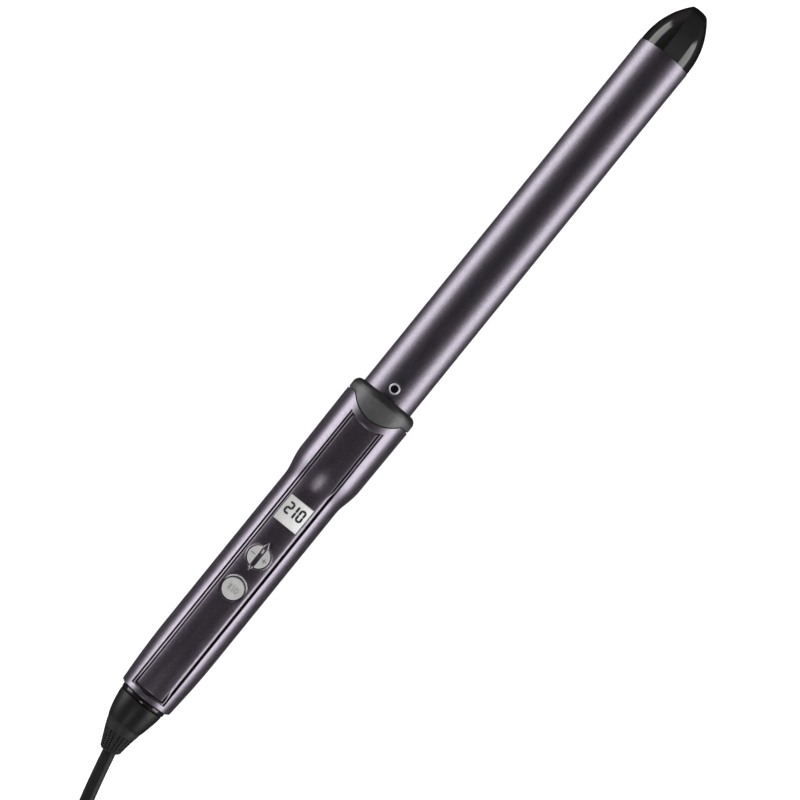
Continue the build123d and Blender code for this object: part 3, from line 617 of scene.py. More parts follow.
def make_studio():
    """An even dome for matte surfaces. Glossy ones see two long side softboxes and a lamp in a dim room."""
    world = bpy.data.worlds.new("studio")
    bpy.context.scene.world = world
    world.use_nodes = True
    world.cycles.sampling_method = "NONE"
    world.node_tree.nodes.clear()
    sky = Nodes(world.node_tree)

    def step(source, low, high, to_low, to_high):
        return sky.ramp(source, low, high, to_low, to_high, "SMOOTHSTEP")

    def band(low, low_soft, high, high_soft):
        """1 between two angles above the floor, in degrees, with soft edges."""
        rise = step(roll, radians(low), radians(low_soft), 0.0, 1.0)
        return sky.math("MULTIPLY", rise, step(roll, radians(high), radians(high_soft), 1.0, 0.0))

    def glow(level, tint):
        made = sky.node("ShaderNodeBackground")
        sky.feed((made.inputs["Color"], made.inputs["Strength"]), (tint, level))
        return made.outputs[0]

    way = sky.node("ShaderNodeTexCoord").outputs["Generated"]
    direction = sky.node("ShaderNodeSeparateXYZ")
    sky.join(way, direction.inputs["Vector"])
    along, across, height = direction.outputs
    roll = sky.math("ARCTAN2", height, sky.math("ABSOLUTE", across))
    box = band(SOFTBOX_LOW - 4, SOFTBOX_LOW + 2, SOFTBOX_HIGH - 3, SOFTBOX_HIGH + 3)
    for low, high, to_low, to_high in ((-0.42, -0.24, SOFTBOX_FAR, 1.0), (0.50, 0.62, 1.0, SOFTBOX_FAR)):
        box = sky.math("MULTIPLY", box, step(along, low, high, to_low, to_high))
    lamp = sky.node("ShaderNodeVectorMath", operation="DOT_PRODUCT")
    sky.feed(lamp.inputs, (way, (-sin(LAMP_LEAN), 0.0, cos(LAMP_LEAN))))
    spot = step(lamp.outputs["Value"], cos(LAMP_RIM), cos(LAMP_CORE), 0.0, LAMP_LEVEL)
    bright = sky.math("ADD", sky.math("MULTIPLY", box, SOFTBOX_LEVEL), spot)
    halo = sky.math("MULTIPLY", band(-50, -5, 20, 62), HALO_LEVEL)
    surround = sky.math("ADD", halo, DARK_LEVEL)
    shiny = sky.node("ShaderNodeAddShader")
    sky.feed(shiny.inputs, (glow(bright, BRIGHT_TINT), glow(surround, SURROUND_TINT)))
    dome = sky.math("SUBTRACT", 1.0, sky.math("MULTIPLY", along, DOME_SLOPE))
    matte = glow(sky.math("MULTIPLY", dome, DOME_LEVEL), (1.0, 1.0, 1.0, 1.0))
    mix = sky.node("ShaderNodeMixShader")
    glossy = sky.node("ShaderNodeLightPath").outputs["Is Glossy Ray"]
    sky.feed(mix.inputs, (glossy, matte, shiny.outputs[0]))
    sky.join(mix.outputs[0], sky.node("ShaderNodeOutputWorld").inputs["Surface"])


def make_floor():
    """A plain pale floor. Glossy surfaces look past it into the studio."""
    reach, level = 6000, -0.02
    rows = [[(x, y, level) for x in (-reach, reach)] for y in (-reach, reach)]
    mesh = make_mesh("floor", Shape().grid(rows))
    paint = Paint("floor", (0.93, 0.93, 0.93), 1.0, Specular_IOR_Level=0.0)
    paint.set("Emission Color", (1.0, 1.0, 1.0, 1.0))
    paint.set("Emission Strength", 0.5)
    mesh.materials.append(paint.material)
    floor = add_object("floor", mesh)
    floor.visible_glossy = False


make_camera()
make_studio()
make_floor()
bpy.context.scene.view_settings.view_transform = "Standard"
bpy.context.scene.view_settings.look = "None"


# ---------------------------------------------------------------- barrel, eyelet and cool tip
BARREL_ROOT = -24
EYELET_X = -5.8
EYELET_SEAT = 2.08
FLAT_HALF = 4.05  # half the width of the tip's flats
FLAT_TURN = radians(-11.0)


def make_barrel():
    """A round tube that flares a little at its open end."""
    outer = [(x, BARREL_RADIUS) for x in (BARREL_ROOT, -15, -10, -8.5, -7.5, -6.5, -5.5, -4.5, -3.5, -2)]
    outer += [(x, BARREL_RADIUS) for x in (0, 20, 60, 100, 140, 155)]
    outer += [(165, 12.6), (172, 12.64), (176.5, 12.67), (177.7, 12.68), (177.95, 12.64)]
    outer.append((BARREL_END, BARREL_RADIUS))
    inner = [(BARREL_END, 11.6), (BARREL_END - 0.2, 11.2), (BARREL_ROOT, 11.0)]
    shape = Shape().lathe(outer + inner, 256)
    barrel = store("barrel", shape, barrel_paint, "iron", ["barrel_tube"])
    return cut(barrel, [drill(EYELET_X, EYELET_SEAT, AXIS + 6, AXIS + 20)])


def make_eyelet():
    """A rolled rivet rim that follows the barrel's curve, with its tube going down inside."""
    profile = [(1.7, -3.2), (1.7, -0.05), (1.76, 0.08), (1.9, 0.17), (2.1, 0.19), (2.28, 0.15), (2.4, 0.06)]
    profile += [(2.46, -0.04), (2.35, -0.1), (2.05, -0.15), (2.05, -3.2)]
    rows = []
    for radius, lift in profile:
        plan = [turned(turn, radius, EYELET_X) for turn in full_turn(72)]
        rows.append([(x, y, AXIS + sqrt(BARREL_RADIUS**2 - y**2) + lift) for x, y in plan])
    shape = Shape().grid(rows, close_u=True, close_v=True).cap(rows[0])
    eyelet = store("eyelet", shape, eyelet_steel, "iron", ["barrel_eyelet"], 50)
    # The eyelet's tube down inside the hole gets painted shade.
    line_with(eyelet, painted_recess_shade, lambda x, y, z: z < AXIS + BARREL_RADIUS - 0.16)


TIP_PROFILE = [
    (0.0, 12.5), (2.5, 12.46), (5.6, 12.27), (8.35, 11.86), (11.0, 11.26), (13.5, 10.46), (16.05, 9.42),
    (18.6, 8.16), (21.2, 6.55), (22.5, 5.65), (23.8, 4.67), (24.6, 4.02),
]


def tip_radius(along):
    """The tip's radius at a distance from the barrel's end: the profile, then a blunt end."""
    last, least = TIP_PROFILE[-1]
    if along < last:
        return read_curve(TIP_PROFILE, along)[0]
    return least - 2.6 * ((along - last) / 0.87) ** 2.2


def tip_half_section(radius):
    """Half a section of the tip, as (across, height): over one flat, then round towards the other."""
    half_angle = asin(min(1.0, FLAT_HALF / radius))
    shares = spread(-1, 1, 24)
    if radius > FLAT_HALF:
        flat = [(FLAT_HALF * share, radius * cos(half_angle)) for share in shares]
    else:
        flat = [(radius * sin(half_angle * share), 0.0) for share in shares]
    turns = spread(half_angle, pi - half_angle, 60)[1:-1]
    return flat + [(radius * sin(turn), radius * cos(turn)) for turn in turns]


def towards_axis(point, share, x):
    """A point drawn in towards the barrel's axis and moved to x."""
    return (x, point[1] * share, AXIS + (point[2] - AXIS) * share)


def make_tip():
    """A bullet-shaped tip with two opposite flats of constant width and a blunt end."""
    root = BARREL_END + 0.03
    stations = [0.0, 0.15] + [0.5 * k for k in range(1, 50)] + [24.75, 24.95, 25.15, 25.3, 25.4]
    c, s = cos(FLAT_TURN), sin(FLAT_TURN)
    rows = []
    for along in stations:
        half = tip_half_section(tip_radius(along))
        section = half + [(-across, -height) for across, height in half]
        rows.append([(root + along, a * c + h * s, AXIS - a * s + h * c) for a, h in section])
    last = rows[-1]
    end_x = last[0][0] + 0.06
    blunt = [[towards_axis(p, k, lerp(end_x, p[0], k**2)) for p in last] for k in (0.85, 0.6, 0.3)]
    plug = [[towards_axis(p, 0.86, x) for p in rows[0]] for x in (BARREL_END - 9.0, root)]
    shape = Shape().solid(plug + rows + blunt)
    tip = store("cool_tip_shell", shape, black_gloss, "iron", ["cool_tip"], 8)

    def on_flat(x, y, z):
        across = y * c - (z - AXIS) * s
        level = y * s + (z - AXIS) * c
        return abs(across) < FLAT_HALF and abs(level) > FLAT_HALF and x > BARREL_END + 0.2

    line_with(tip, black_satin, on_flat)


# ---------------------------------------------------------------- collar with its tongue
def make_collar():
    """A rounded ring round the barrel's root, whose tongue runs back over the top shell."""
    fillet = 3.2
    bore = BARREL_RADIUS + 0.1
    edge = 0.18
    depth = 6.0
    skin_rows = 40
    angles = full_turn(288)
    rear = [seam_x(COLLAR_RADIUS * sin(a)) if cos(a) > 0 else seam_x(COLLAR_RADIUS) for a in angles]

    def ring(xs, radius):
        return [(x, radius * sin(a), max(AXIS + radius * cos(a), 0.0)) for x, a in zip(xs, angles)]

    rear_edge = ((-1.8, 2.2), (-1.8, 1.0), (0.0, 0.5), (0.0, edge), (0.06, 0.05))
    rows = [ring([x + ahead for x in rear], COLLAR_RADIUS - inset) for ahead, inset in rear_edge]
    front = COLLAR_FRONT - fillet
    for share in spread(0.0, 1.0, skin_rows):
        rows.append(ring([lerp(x + edge, front, share) for x in rear], COLLAR_RADIUS))
    turns = spread(0.0, pi / 2, 14)[1:]
    profile = [(front + fillet * sin(t), COLLAR_RADIUS - fillet * (1 - cos(t))) for t in turns]
    profile += [(COLLAR_FRONT, bore + 0.12), (COLLAR_FRONT - 0.12, bore)]
    profile += [(COLLAR_FRONT - depth, bore), (COLLAR_FRONT - depth, COLLAR_RADIUS - 2.2)]
    rows += [ring([x] * len(angles), radius) for x, radius in profile]
    shape = Shape().grid(rows, close_u=True, close_v=True)
    collar = store("collar", shape, collar_plastic, "iron", ["nose_collar"], 40)
    # The collar's inner faces at its rear seam get painted shade.
    line_with(collar, painted_recess_shade, lambda x, y, z: hypot(y, z - AXIS) < COLLAR_RADIUS - 0.3 and x < -15)


# ---------------------------------------------------------------- handle shells
TAIL_STATIONS = 4  # from the tail's edge to the panel's rear
HEAD_STATIONS = 8  # from the panel's front to the collar's seam
WALL = 0.32
NECK_RADIUS = 5.8
SCREWS_X = (-52.0, -145.5)
SCREW_WELL = 2.7
GRIP_STATIONS = (
    [-171.2]
    + [TAIL_FRONT - 1.5 * k for k in range(16, -1, -1)]
    + [-144, -138, -130, -122, -114, -106, -98, -90, -82, -76, -70, -66]
    + [-48 - 0.5 * k for k in range(30, -1, -1)]
    + [-47, -45, -42, -38, -34, -30]
)


def side_x(y):
    """Where the shells' last station before the collar lies, in line with the panel's hollow end."""
    if abs(y) <= PANEL_HALF:
        return arc_x(y, PANEL_ARC)
    corner = arc_x(PANEL_HALF, PANEL_ARC)
    return corner + 0.85 * (seam_x(y) - seam_x(PANEL_HALF))


def shell_stations(y):
    """The X of every station along the handle at one Y, from the tail's edge to the collar's seam."""
    last = side_x(y)
    front = seam_x(y) - SEAM_GAP
    xs = [HANDLE_END + 0.5, -174.2, -173.2, PANEL_REAR] + GRIP_STATIONS
    xs += [lerp(GRIP_STATIONS[-1], last, share) for share in (0.25, 0.5, 0.75, 1.0)]
    xs += [lerp(last, front - 0.2, share) for share in (0.2, 0.4, 0.6, 0.8, 1.0)]
    return xs + [front - 0.06, front]


def upper_rows(side):
    """Rows of the upper shell's skin on one side, from the panel's edge down to the split."""
    columns = [shell_stations(y) for y, _ in side_profile(-24.0)]
    rows = []
    for xs in zip(*columns):
        edge = [side_profile(x)[k] for k, x in enumerate(xs)]
        rows.append([(x, side * y, AXIS + z) for x, (y, z) in zip(xs, edge)])
    return rows


def border_rows(first, last):
    """Rows of the upper shell between the two sides, over the stations from first to last."""
    ys = spread(-PANEL_HALF, PANEL_HALF, 34)
    columns = [shell_stations(y)[first:last] for y in ys]
    return [[(x, y, AXIS + frame_height(x, y)) for x, y in zip(xs, ys)] for xs in zip(*columns)]


def wall_down(edge, dx, dy):
    """A rounded edge and a wall below it, from a line of points. (dx, dy) points into the opening."""
    rows = [edge]
    for out, down in ((0.04, 0.02), (0.10, 0.10), (0.12, 0.25), (0.12, 1.7)):
        rows.append([(x + dx * out, y + dy * out, z - down) for x, y, z in edge])
    return rows


def lip(edge):
    """A narrow strip inwards from the split."""
    return [edge, [(x, y - 1.2 if y > 0 else y + 1.2, z) for x, y, z in edge]]


def seam_lip(seam):
    """A strip inwards from the seam with the collar."""
    return [seam, [towards_axis(p, 0.93, p[0]) for p in seam]]


def in_opening(x, y, z):
    """Whether a place lies down inside the opening the panel fills."""
    return abs(y) < PANEL_HALF + 0.4 and PANEL_REAR - 0.4 < x and z < AXIS + frame_height(x, y) - 0.14


def make_upper_shell():
    """The handle's upper skin: two sides, a border behind the panel and one before it, and its edges."""
    left, right = upper_rows(-1), upper_rows(1)
    length = len(right)
    shape = Shape()
    for side, rows in ((-1, left), (1, right)):
        panel_edge = [row[0] for row in rows[TAIL_STATIONS - 1 : length - HEAD_STATIONS + 1]]
        shape.grid(rows).grid(wall_down(panel_edge, 0, -side)).grid(lip([row[-1] for row in rows]))
    tail_border = border_rows(0, TAIL_STATIONS)
    head_border = border_rows(length - HEAD_STATIONS, length)
    shape.grid(tail_border).grid(wall_down(tail_border[-1], 1, 0))
    shape.grid(head_border).grid(wall_down(head_border[0], -1, 0))
    shape.grid(seam_lip(left[-1][::-1] + head_border[-1][1:-1] + right[-1]))
    close_tail(shape, left[0][::-1] + tail_border[0][1:-1] + right[0])
    shell = store("handle_frame", shape, shell_paint, "iron", ["handle_top_shell"])
    # The walls down inside the panel's opening get painted shade.
    return line_with(thicken(shell, WALL), painted_recess_shade, in_opening)


def close_tail(shape, rear):
    """Rounds the shell's rear edge and closes its end face down to the swivel's neck."""
    rows = [rear]
    for back, inset in ((0.2, 0.04), (0.36, 0.15), (0.46, 0.3), (0.5, 0.5)):
        rows.append([towards_axis(p, 1 - inset / 12, p[0] - back) for p in rear])
    neck = [(HANDLE_END, *turned(atan2(z - AXIS, y), NECK_RADIUS, 0, AXIS)) for _, y, z in rear]
    middle = [(HANDLE_END, lerp(a[1], b[1], 0.5), lerp(a[2], b[2], 0.5)) for a, b in zip(rows[-1], neck)]
    return shape.grid(rows + [middle, neck])


def cubic(a, b, c, d, t):
    """A Bezier curve's value at t."""
    return a * (1 - t) ** 3 + 3 * b * t * (1 - t) ** 2 + 3 * c * t**2 * (1 - t) + d * t**3


def lower_profile(x):
    """The handle's underside from the split at +Y round to the split at -Y, as (y, z above the axis)."""
    wide = half_width(x)
    bottom = AXIS - 0.0048 * tail(x)
    flat = lerp(4.4, 4.6, headness(x))
    start = side_profile(x)[-1][0]
    low, high = start, start + 8.0
    for _ in range(30):
        bulge = (low + high) / 2
        widest = max(cubic(start, bulge, flat + 6.6, flat, t) for t in spread(0, 1, 40))
        low, high = (bulge, high) if widest < wide else (low, bulge)
    half = []
    for t in spread(0, 1, 44):
        y = cubic(start, bulge, flat + 6.6, flat, t)
        half.append((y, cubic(-HALF_SPLIT, -7.6, 1.7 - bottom, -bottom, t)))
    half += [(y, -bottom) for y in spread(flat, 0, 5)[1:]]
    return half + [(-y, z) for y, z in half[-2::-1]]


def make_lower_shell():
    """The handle's underside in one sheet, with the two screws' wells."""
    rows = [[(x, y, AXIS + z) for y, z in lower_profile(x)] for x in shell_stations(COLLAR_RADIUS)]
    shape = Shape().grid(rows)
    for column in (0, -1):
        shape.grid(lip([row[column] for row in rows]))
    close_tail(shape.grid(seam_lip(rows[-1])), rows[0])
    shell = store("handle_back", shape, shell_paint, "iron", ["handle_bottom_shell"])
    cut(thicken(shell, WALL), [drill(x, SCREW_WELL, -2, 4) for x in SCREWS_X])
    walls = [(0.35, SCREW_WELL), (4.0, SCREW_WELL), (4.0, 1.5), (8.0, 1.5)]
    walls += [(8.0, 3.2), (0.6, 3.2), (0.35, 3.0)]
    for number, x in enumerate(SCREWS_X):
        well = Shape().lathe(walls, 48, "z", x)
        store(f"screw_well_{number}", well, shell_paint, "iron")


make_barrel()
make_eyelet()
make_tip()
make_collar()
make_upper_shell()
make_lower_shell()


# ---------------------------------------------------------------- control panel
EDGE_ROUND = 0.15
FIELD_HALF = STRIP_HALF - EDGE_ROUND
FIELD_REAR = PANEL_REAR + 1.4 + EDGE_ROUND
FIELD_ARC = PANEL_ARC + 0.7 + EDGE_ROUND
POWER_X = -114.6
POWER_RADIUS = 4.83
POWER_BEZEL = 6.2
KEYS_X = -97.35
KEYS_RADIUS = 4.92
KEYS_BEZEL = 5.9
DISPLAY_REAR = -80.4
DISPLAY_FRONT = -67.5
DISPLAY_HALF = 6.25
WINDOW_DEPTH = 0.16
BUTTON_TOP = AXIS + 14.5
PATCH_HALF = 7.4  # half the length of the field's patch round a button
PANEL_THICK = 2.0
WARP_FROM = -32.0  # in front of this the field's lines bend to follow the arc
WARP_SHARES = [0.2, 0.4, 0.6, 0.8, 1.0]
FIELD_Y = sorted({*spread(-FIELD_HALF, FIELD_HALF, 26), -DISPLAY_HALF, DISPLAY_HALF})
FIELD_PLACES = (
    (FIELD_REAR, 40), (POWER_X - PATCH_HALF, 30), (POWER_X + PATCH_HALF, 5), (KEYS_X - PATCH_HALF, 30),
    (KEYS_X + PATCH_HALF, 10), (DISPLAY_REAR, 12), (DISPLAY_FRONT, 6), (SHOULDER_REAR, 28),
    (SHOULDER_FRONT, 14), (WARP_FROM, 0),
)  # where each stretch of the field starts, and its number of steps
FIELD_X = sorted({
    x for (low, steps), (high, _) in zip(FIELD_PLACES, FIELD_PLACES[1:]) for x in spread(low, high, steps)
})


def between(values, low, high):
    """The values from low to high, with both ends."""
    return [value for value in values if low - 1e-6 <= value <= high + 1e-6]


def around(xs, ys):
    """A closed loop of (x, y) over the border of a grid, from its low x and low y."""
    loop = [(xs[0], y) for y in ys] + [(x, ys[-1]) for x in xs[1:]]
    return loop + [(xs[-1], y) for y in ys[-2::-1]] + [(x, ys[0]) for x in xs[-2:0:-1]]


def lifted(x, y, drop):
    """A point that lies drop below the crowned surface."""
    return (x, y, AXIS + crown_height(x, y) - drop)


def panel_loop(offset, drop):
    """Closed outline of the panel's field grown by offset, lying drop below the crowned surface."""
    half = FIELD_HALF + offset
    arc = FIELD_ARC - offset
    xs = [FIELD_REAR - offset] + FIELD_X[1:]
    xs += [lerp(WARP_FROM, arc_x(half, arc), share) for share in WARP_SHARES]
    ys = [y * half / FIELD_HALF for y in FIELD_Y]
    plan = [(xs[0], y) for y in ys]
    plan += [(x, half) for x in xs[1:]]
    plan += [(arc_x(y, arc), y) for y in ys[-2::-1]]
    plan += [(x, -half) for x in xs[-2:0:-1]]
    return [lifted(x, y, drop) for x, y in plan]


def round_patch(shape, centre_x, radius, drop):
    """The square field round a round opening. Gives back the angles of the opening's points."""
    edge = around(between(FIELD_X, centre_x - PATCH_HALF, centre_x + PATCH_HALF), FIELD_Y)
    turns = [atan2(y, x - centre_x) for x, y in edge]
    rows = []
    for share in (0.0, 0.3, 0.6, 0.85, 1.0):
        row = []
        for (x, y), turn in zip(edge, turns):
            rim_x, rim_y = turned(turn, radius, centre_x)
            row.append(lifted(lerp(x, rim_x, share), lerp(y, rim_y, share), drop))
        rows.append(row)
    shape.grid(rows, close_u=True)
    return turns


def field(shape, drop, power_radius, keys_radius):
    """The panel's field as patches with its three openings left out."""

    def strip(low, high, ys=FIELD_Y):
        shape.grid([[lifted(x, y, drop) for y in ys] for x in between(FIELD_X, low, high)])

    strip(FIELD_REAR, POWER_X - PATCH_HALF)
    power_turns = round_patch(shape, POWER_X, power_radius, drop)
    strip(POWER_X + PATCH_HALF, KEYS_X - PATCH_HALF)
    keys_turns = round_patch(shape, KEYS_X, keys_radius, drop)
    strip(KEYS_X + PATCH_HALF, DISPLAY_REAR)
    strip(DISPLAY_REAR, DISPLAY_FRONT, between(FIELD_Y, DISPLAY_HALF, FIELD_HALF))
    strip(DISPLAY_REAR, DISPLAY_FRONT, between(FIELD_Y, -FIELD_HALF, -DISPLAY_HALF))
    strip(DISPLAY_FRONT, WARP_FROM)
    rows = []
    for share in [0.0] + WARP_SHARES:
        rows.append([lifted(lerp(WARP_FROM, arc_x(y, FIELD_ARC), share), y, drop) for y in FIELD_Y])
    shape.grid(rows)
    return power_turns, keys_turns


def opening_wall(shape, centre_x, turns, steps):
    """The wall of a round opening, from the field's edge down. steps are (radius, depth)."""
    rows = [[lifted(*turned(turn, radius, centre_x), depth) for turn in turns] for radius, depth in steps]
    shape.grid(rows, close_u=True)


def make_panel():
    """The inlaid panel: a crowned strip with rounded edges on a lower ledge."""
    shape = Shape()
    power_turns, keys_turns = field(shape, 0.0, POWER_BEZEL, KEYS_BEZEL)
    field(shape, PANEL_THICK, POWER_RADIUS + 0.15, KEYS_RADIUS + 0.15)
    power_steps = [(POWER_BEZEL - inset, depth) for inset, depth in ((0.0, 0.0), (0.08, 0.02), (0.2, 0.06))]
    well = ((0.5, 0.27), (0.36, 0.38), (0.28, 0.7), (0.28, PANEL_THICK - 0.1), (0.15, PANEL_THICK))
    power_steps += [(POWER_RADIUS + gap, depth) for gap, depth in well]
    keys_ring = ((0.0, 0.0), (0.3, -0.13), (0.44, -0.15), (0.7, -0.02))
    keys_steps = [(KEYS_BEZEL - inset, depth) for inset, depth in keys_ring]
    well = ((0.24, 0.4), (0.24, PANEL_THICK - 0.1), (0.15, PANEL_THICK))
    keys_steps += [(KEYS_RADIUS + gap, depth) for gap, depth in well]
    opening_wall(shape, POWER_X, power_turns, power_steps)
    opening_wall(shape, KEYS_X, keys_turns, keys_steps)
    ys = between(FIELD_Y, -DISPLAY_HALF, DISPLAY_HALF)
    loop = around(between(FIELD_X, DISPLAY_REAR, DISPLAY_FRONT), ys)
    shape.grid([[lifted(x, y, depth) for x, y in loop] for depth in (0.0, 0.9, PANEL_THICK)], close_u=True)
    rows = []
    for turn in spread(0.0, pi / 2, 6):
        rows.append(panel_loop(EDGE_ROUND * sin(turn), EDGE_ROUND * (1 - cos(turn))))
    ledge = PANEL_HALF - 0.16 - FIELD_HALF
    rows += [
        panel_loop(EDGE_ROUND, LEDGE_DEPTH),
        panel_loop(ledge - 0.1, LEDGE_DEPTH),
        panel_loop(ledge, LEDGE_DEPTH + 0.1),
        panel_loop(ledge, PANEL_THICK),
        panel_loop(0.0, PANEL_THICK),
    ]
    shape.grid(rows, close_u=True)
    strip = store("control_panel_strip", shape, panel_paint, "iron", ["control_panel"], 38)
    # The strip's walls and ledge below its rounded edge get painted shade.
    line_with(strip, painted_recess_shade, lambda x, y, z: z < AXIS + crown_height(x, y) - EDGE_ROUND - 0.04)

    def on_bezel(x, y, z):
        reach = hypot(x - POWER_X, y)
        return POWER_RADIUS + 0.48 < reach < POWER_BEZEL - 0.1 and z > AXIS + crown_height(x, y) - 0.3

    line_with(strip, bar_paint, on_bezel)


def make_rail():
    """The thin rail in the groove round the strip. It closes up to the strip along one side and in front."""
    outer = PANEL_HALF - 0.78 - FIELD_HALF
    inner = STRIP_HALF + 0.68 - FIELD_HALF
    foot = LEDGE_DEPTH - 0.02
    free = [
        (outer, foot), (outer, 0.5), (outer - 0.06, 0.36), (outer - 0.16, 0.3),
        (inner + 0.16, 0.3), (inner + 0.06, 0.36), (inner, 0.5), (inner, foot),
    ]
    side = [
        (1.0, foot), (1.0, 0.52), (0.97, 0.46), (0.92, 0.41),
        (0.28, 0.08), (0.22, 0.07), (0.17, 0.1), (0.17, foot),
    ]
    lean = [
        (outer, foot), (outer, 0.54), (outer - 0.06, 0.46), (outer - 0.14, 0.42),
        (inner + 0.14, 0.24), (inner + 0.06, 0.26), (inner, 0.4), (inner, foot),
    ]
    front = [
        (0.82, foot), (0.82, 0.14), (0.8, 0.07), (0.76, 0.05),
        (0.44, 0.16), (0.26, 0.2), (0.17, 0.24), (0.17, foot),
    ]
    rows = []
    for sections in zip(free, side, lean, front):
        row = []
        for points in zip(*(panel_loop(offset, drop) for offset, drop in sections)):
            x, y, _ = points[0]
            along_grip = smooth((x + 169) / 4) * (1 - smooth((x + 60) / 5))
            below, above = along_grip * smooth(-y - 5.5), along_grip * smooth(y - 5.5)
            ahead = smooth(6.9 - abs(y)) * smooth((x + 30) / 1.5)
            mix = zip(*points)
            row.append(tuple(a + (b - a) * below + (c - a) * above + (d - a) * ahead for a, b, c, d in mix))
        rows.append(row)
    shape = Shape().grid(rows, close_u=True, close_v=True)
    rail = store("groove_rail", shape, shell_paint, "iron", ["panel_trim"], 60)
    # The rail's lower sides down in the groove get painted shade.
    line_with(rail, painted_recess_shade, lambda x, y, z: z < AXIS + crown_height(x, y) - 0.52)


def edge_lines(low, high, rounding):
    """Lines across a plate with extra ones over its rounded edges."""
    near = [rounding * share for share in (0.0, 0.25, 0.6)]
    inner = spread(low + rounding, high - rounding, 24)
    return [low + step for step in near] + inner + [high - step for step in near[::-1]]


def make_window():
    """The display's crowned front, with softly rounded edges."""
    rounding = 0.18
    gap = 0.14
    xs = edge_lines(DISPLAY_REAR + gap, DISPLAY_FRONT - gap, rounding)
    ys = edge_lines(gap - DISPLAY_HALF, DISPLAY_HALF - gap, rounding)

    def drop(value, lines):
        past = max(0.0, rounding - min(value - lines[0], lines[-1] - value))
        return rounding - sqrt(rounding**2 - past**2)

    top = [[lifted(x, y, WINDOW_DEPTH + max(drop(x, xs), drop(y, ys))) for y in ys] for x in xs]
    low = [[lifted(x, y, 1.0) for y in ys] for x in xs]
    shape = Shape().grid(top).grid(low)
    for end in (0, -1):
        shape.grid([top[end], low[end]])
        shape.grid([[row[end] for row in rows] for rows in (top, low)])
    store("display_front", shape, display_face, "iron", ["display_window"], 60)


def segment(start, end, stroke):
    """A display segment with blunt pointed ends, as pairs of points across it."""
    (x0, y0), (x1, y1) = start, end
    length = hypot(x1 - x0, y1 - y0)
    ux, uy = (x1 - x0) / length, (y1 - y0) / length
    gap = stroke * 0.05
    half = stroke / 2
    pairs = []
    for along in [gap] + spread(gap + half, length - gap - half, 6) + [length - gap]:
        across = min(half, along - gap + half * 0.6, length - gap - along + half * 0.6)
        x, y = x0 + ux * along, y0 + uy * along
        pairs.append(((x + uy * across, y - ux * across), (x - uy * across, y + ux * across)))
    return pairs


def make_digits():
    """The reading 210 in seven-segment figures, its top towards the tip."""
    bottom, top = -75.95, -70.0
    stroke = 0.98
    ink = 0.05  # how far the figures stand out of the window, and reach into it
    half = stroke / 2
    places = (("abged", 4.6, 1.35), ("bc", 1.25, -0.45), ("abcdef", -1.65, -4.7))
    shape = Shape()
    for letters, left, right in places:
        xt, xm, xb = top - half, (top + bottom) / 2, bottom + half
        yl, yr = left - half, right + half
        tall = 0.0
        if letters == "bc":
            yr = right
            tall = half
        lines = {
            "a": ((xt, yl), (xt, yr)), "b": ((xt + tall, yr), (xm, yr)), "c": ((xm, yr), (xb - tall, yr)),
            "d": ((xb, yl), (xb, yr)), "e": ((xm, yl), (xb, yl)), "f": ((xt, yl), (xm, yl)),
            "g": ((xm, yl), (xm, yr)),
        }
        for letter in letters:
            rows = []
            for one, other in segment(*lines[letter], stroke):
                high = [lifted(*place, WINDOW_DEPTH - ink) for place in (one, other)]
                rows.append(high + [lifted(*place, WINDOW_DEPTH + ink) for place in (other, one)])
            shape.solid(rows)
    store("display_digits", shape, segment_ink, "iron")


# ---------------------------------------------------------------- buttons
FLANGE = 0.78  # how far a button's flange reaches out under the panel
FLANGE_LOW = AXIS + 9.8
FLANGE_HIGH = AXIS + 10.45
KEY_GAP = 1.07  # the keys' straight edges lie this far from the middle line
MARK_DEPTH = 0.2
MARK_Y = 2.95


def bar_cutter(x0, x1, y0, y1, depth):
    """A box that cuts a bar into a button's top."""
    return Shape().box((x0, y0, BUTTON_TOP - depth), (x1, y1, BUTTON_TOP + 1))


def make_power_button():
    """A round button with rounded edges and a shallow engraved oval and two bars."""
    rounding = 0.4
    depth = 0.16
    half_length = 1.3
    stroke = 0.3
    reach = POWER_RADIUS + FLANGE
    profile = [(FLANGE_LOW, CLOSED), (FLANGE_LOW, reach), (FLANGE_HIGH, reach), (FLANGE_HIGH, POWER_RADIUS)]
    profile.append((27.5, POWER_RADIUS))
    for turn in spread(0.0, pi / 2, 5):
        profile.append((BUTTON_TOP - rounding * (1 - sin(turn)), POWER_RADIUS - rounding * (1 - cos(turn))))
    profile += [(BUTTON_TOP, POWER_RADIUS - rounding - 0.12), (BUTTON_TOP, CLOSED)]
    shape = Shape().lathe(profile, 96, "z", POWER_X)
    button = store("power_button_cap", shape, button_plastic, "power_button", ["power_button"])
    rows = []
    for height, inset in ((-depth, 0.0), (1.0, 0.0), (1.0, stroke), (-depth, stroke)):
        row = []
        for turn in full_turn(40):
            x, y = (half_length - inset) * cos(turn), (0.85 - inset) * sin(turn)
            row.append((POWER_X + x, y - 1.75, BUTTON_TOP + height))
        rows.append(row)
    oval = Shape().grid(rows, close_u=True, close_v=True)
    x0, x1 = POWER_X - half_length, POWER_X + half_length
    bars = [bar_cutter(x0, x1, y, y + 0.26, depth) for y in (1.3, 1.85)]
    cut(button, bars + [oval])
    line_with(button, mark_grey, lambda x, y, z: z < BUTTON_TOP - 0.1 and hypot(x - POWER_X, y) < 3.4)


def key_loop(inset, height, side):
    """Plan of a half-round key drawn in by inset."""
    radius = KEYS_RADIUS - inset
    start = asin((KEY_GAP + inset) / radius)
    arc = [turned(turn, radius, KEYS_X) for turn in spread(start, pi - start, 40)]
    (first_x, _), (last_x, last_y) = arc[0], arc[-1]
    plan = arc + [(x, last_y) for x in spread(last_x, first_x, 12)[1:-1]]
    return [(x, side * y, height) for x, y in plan]


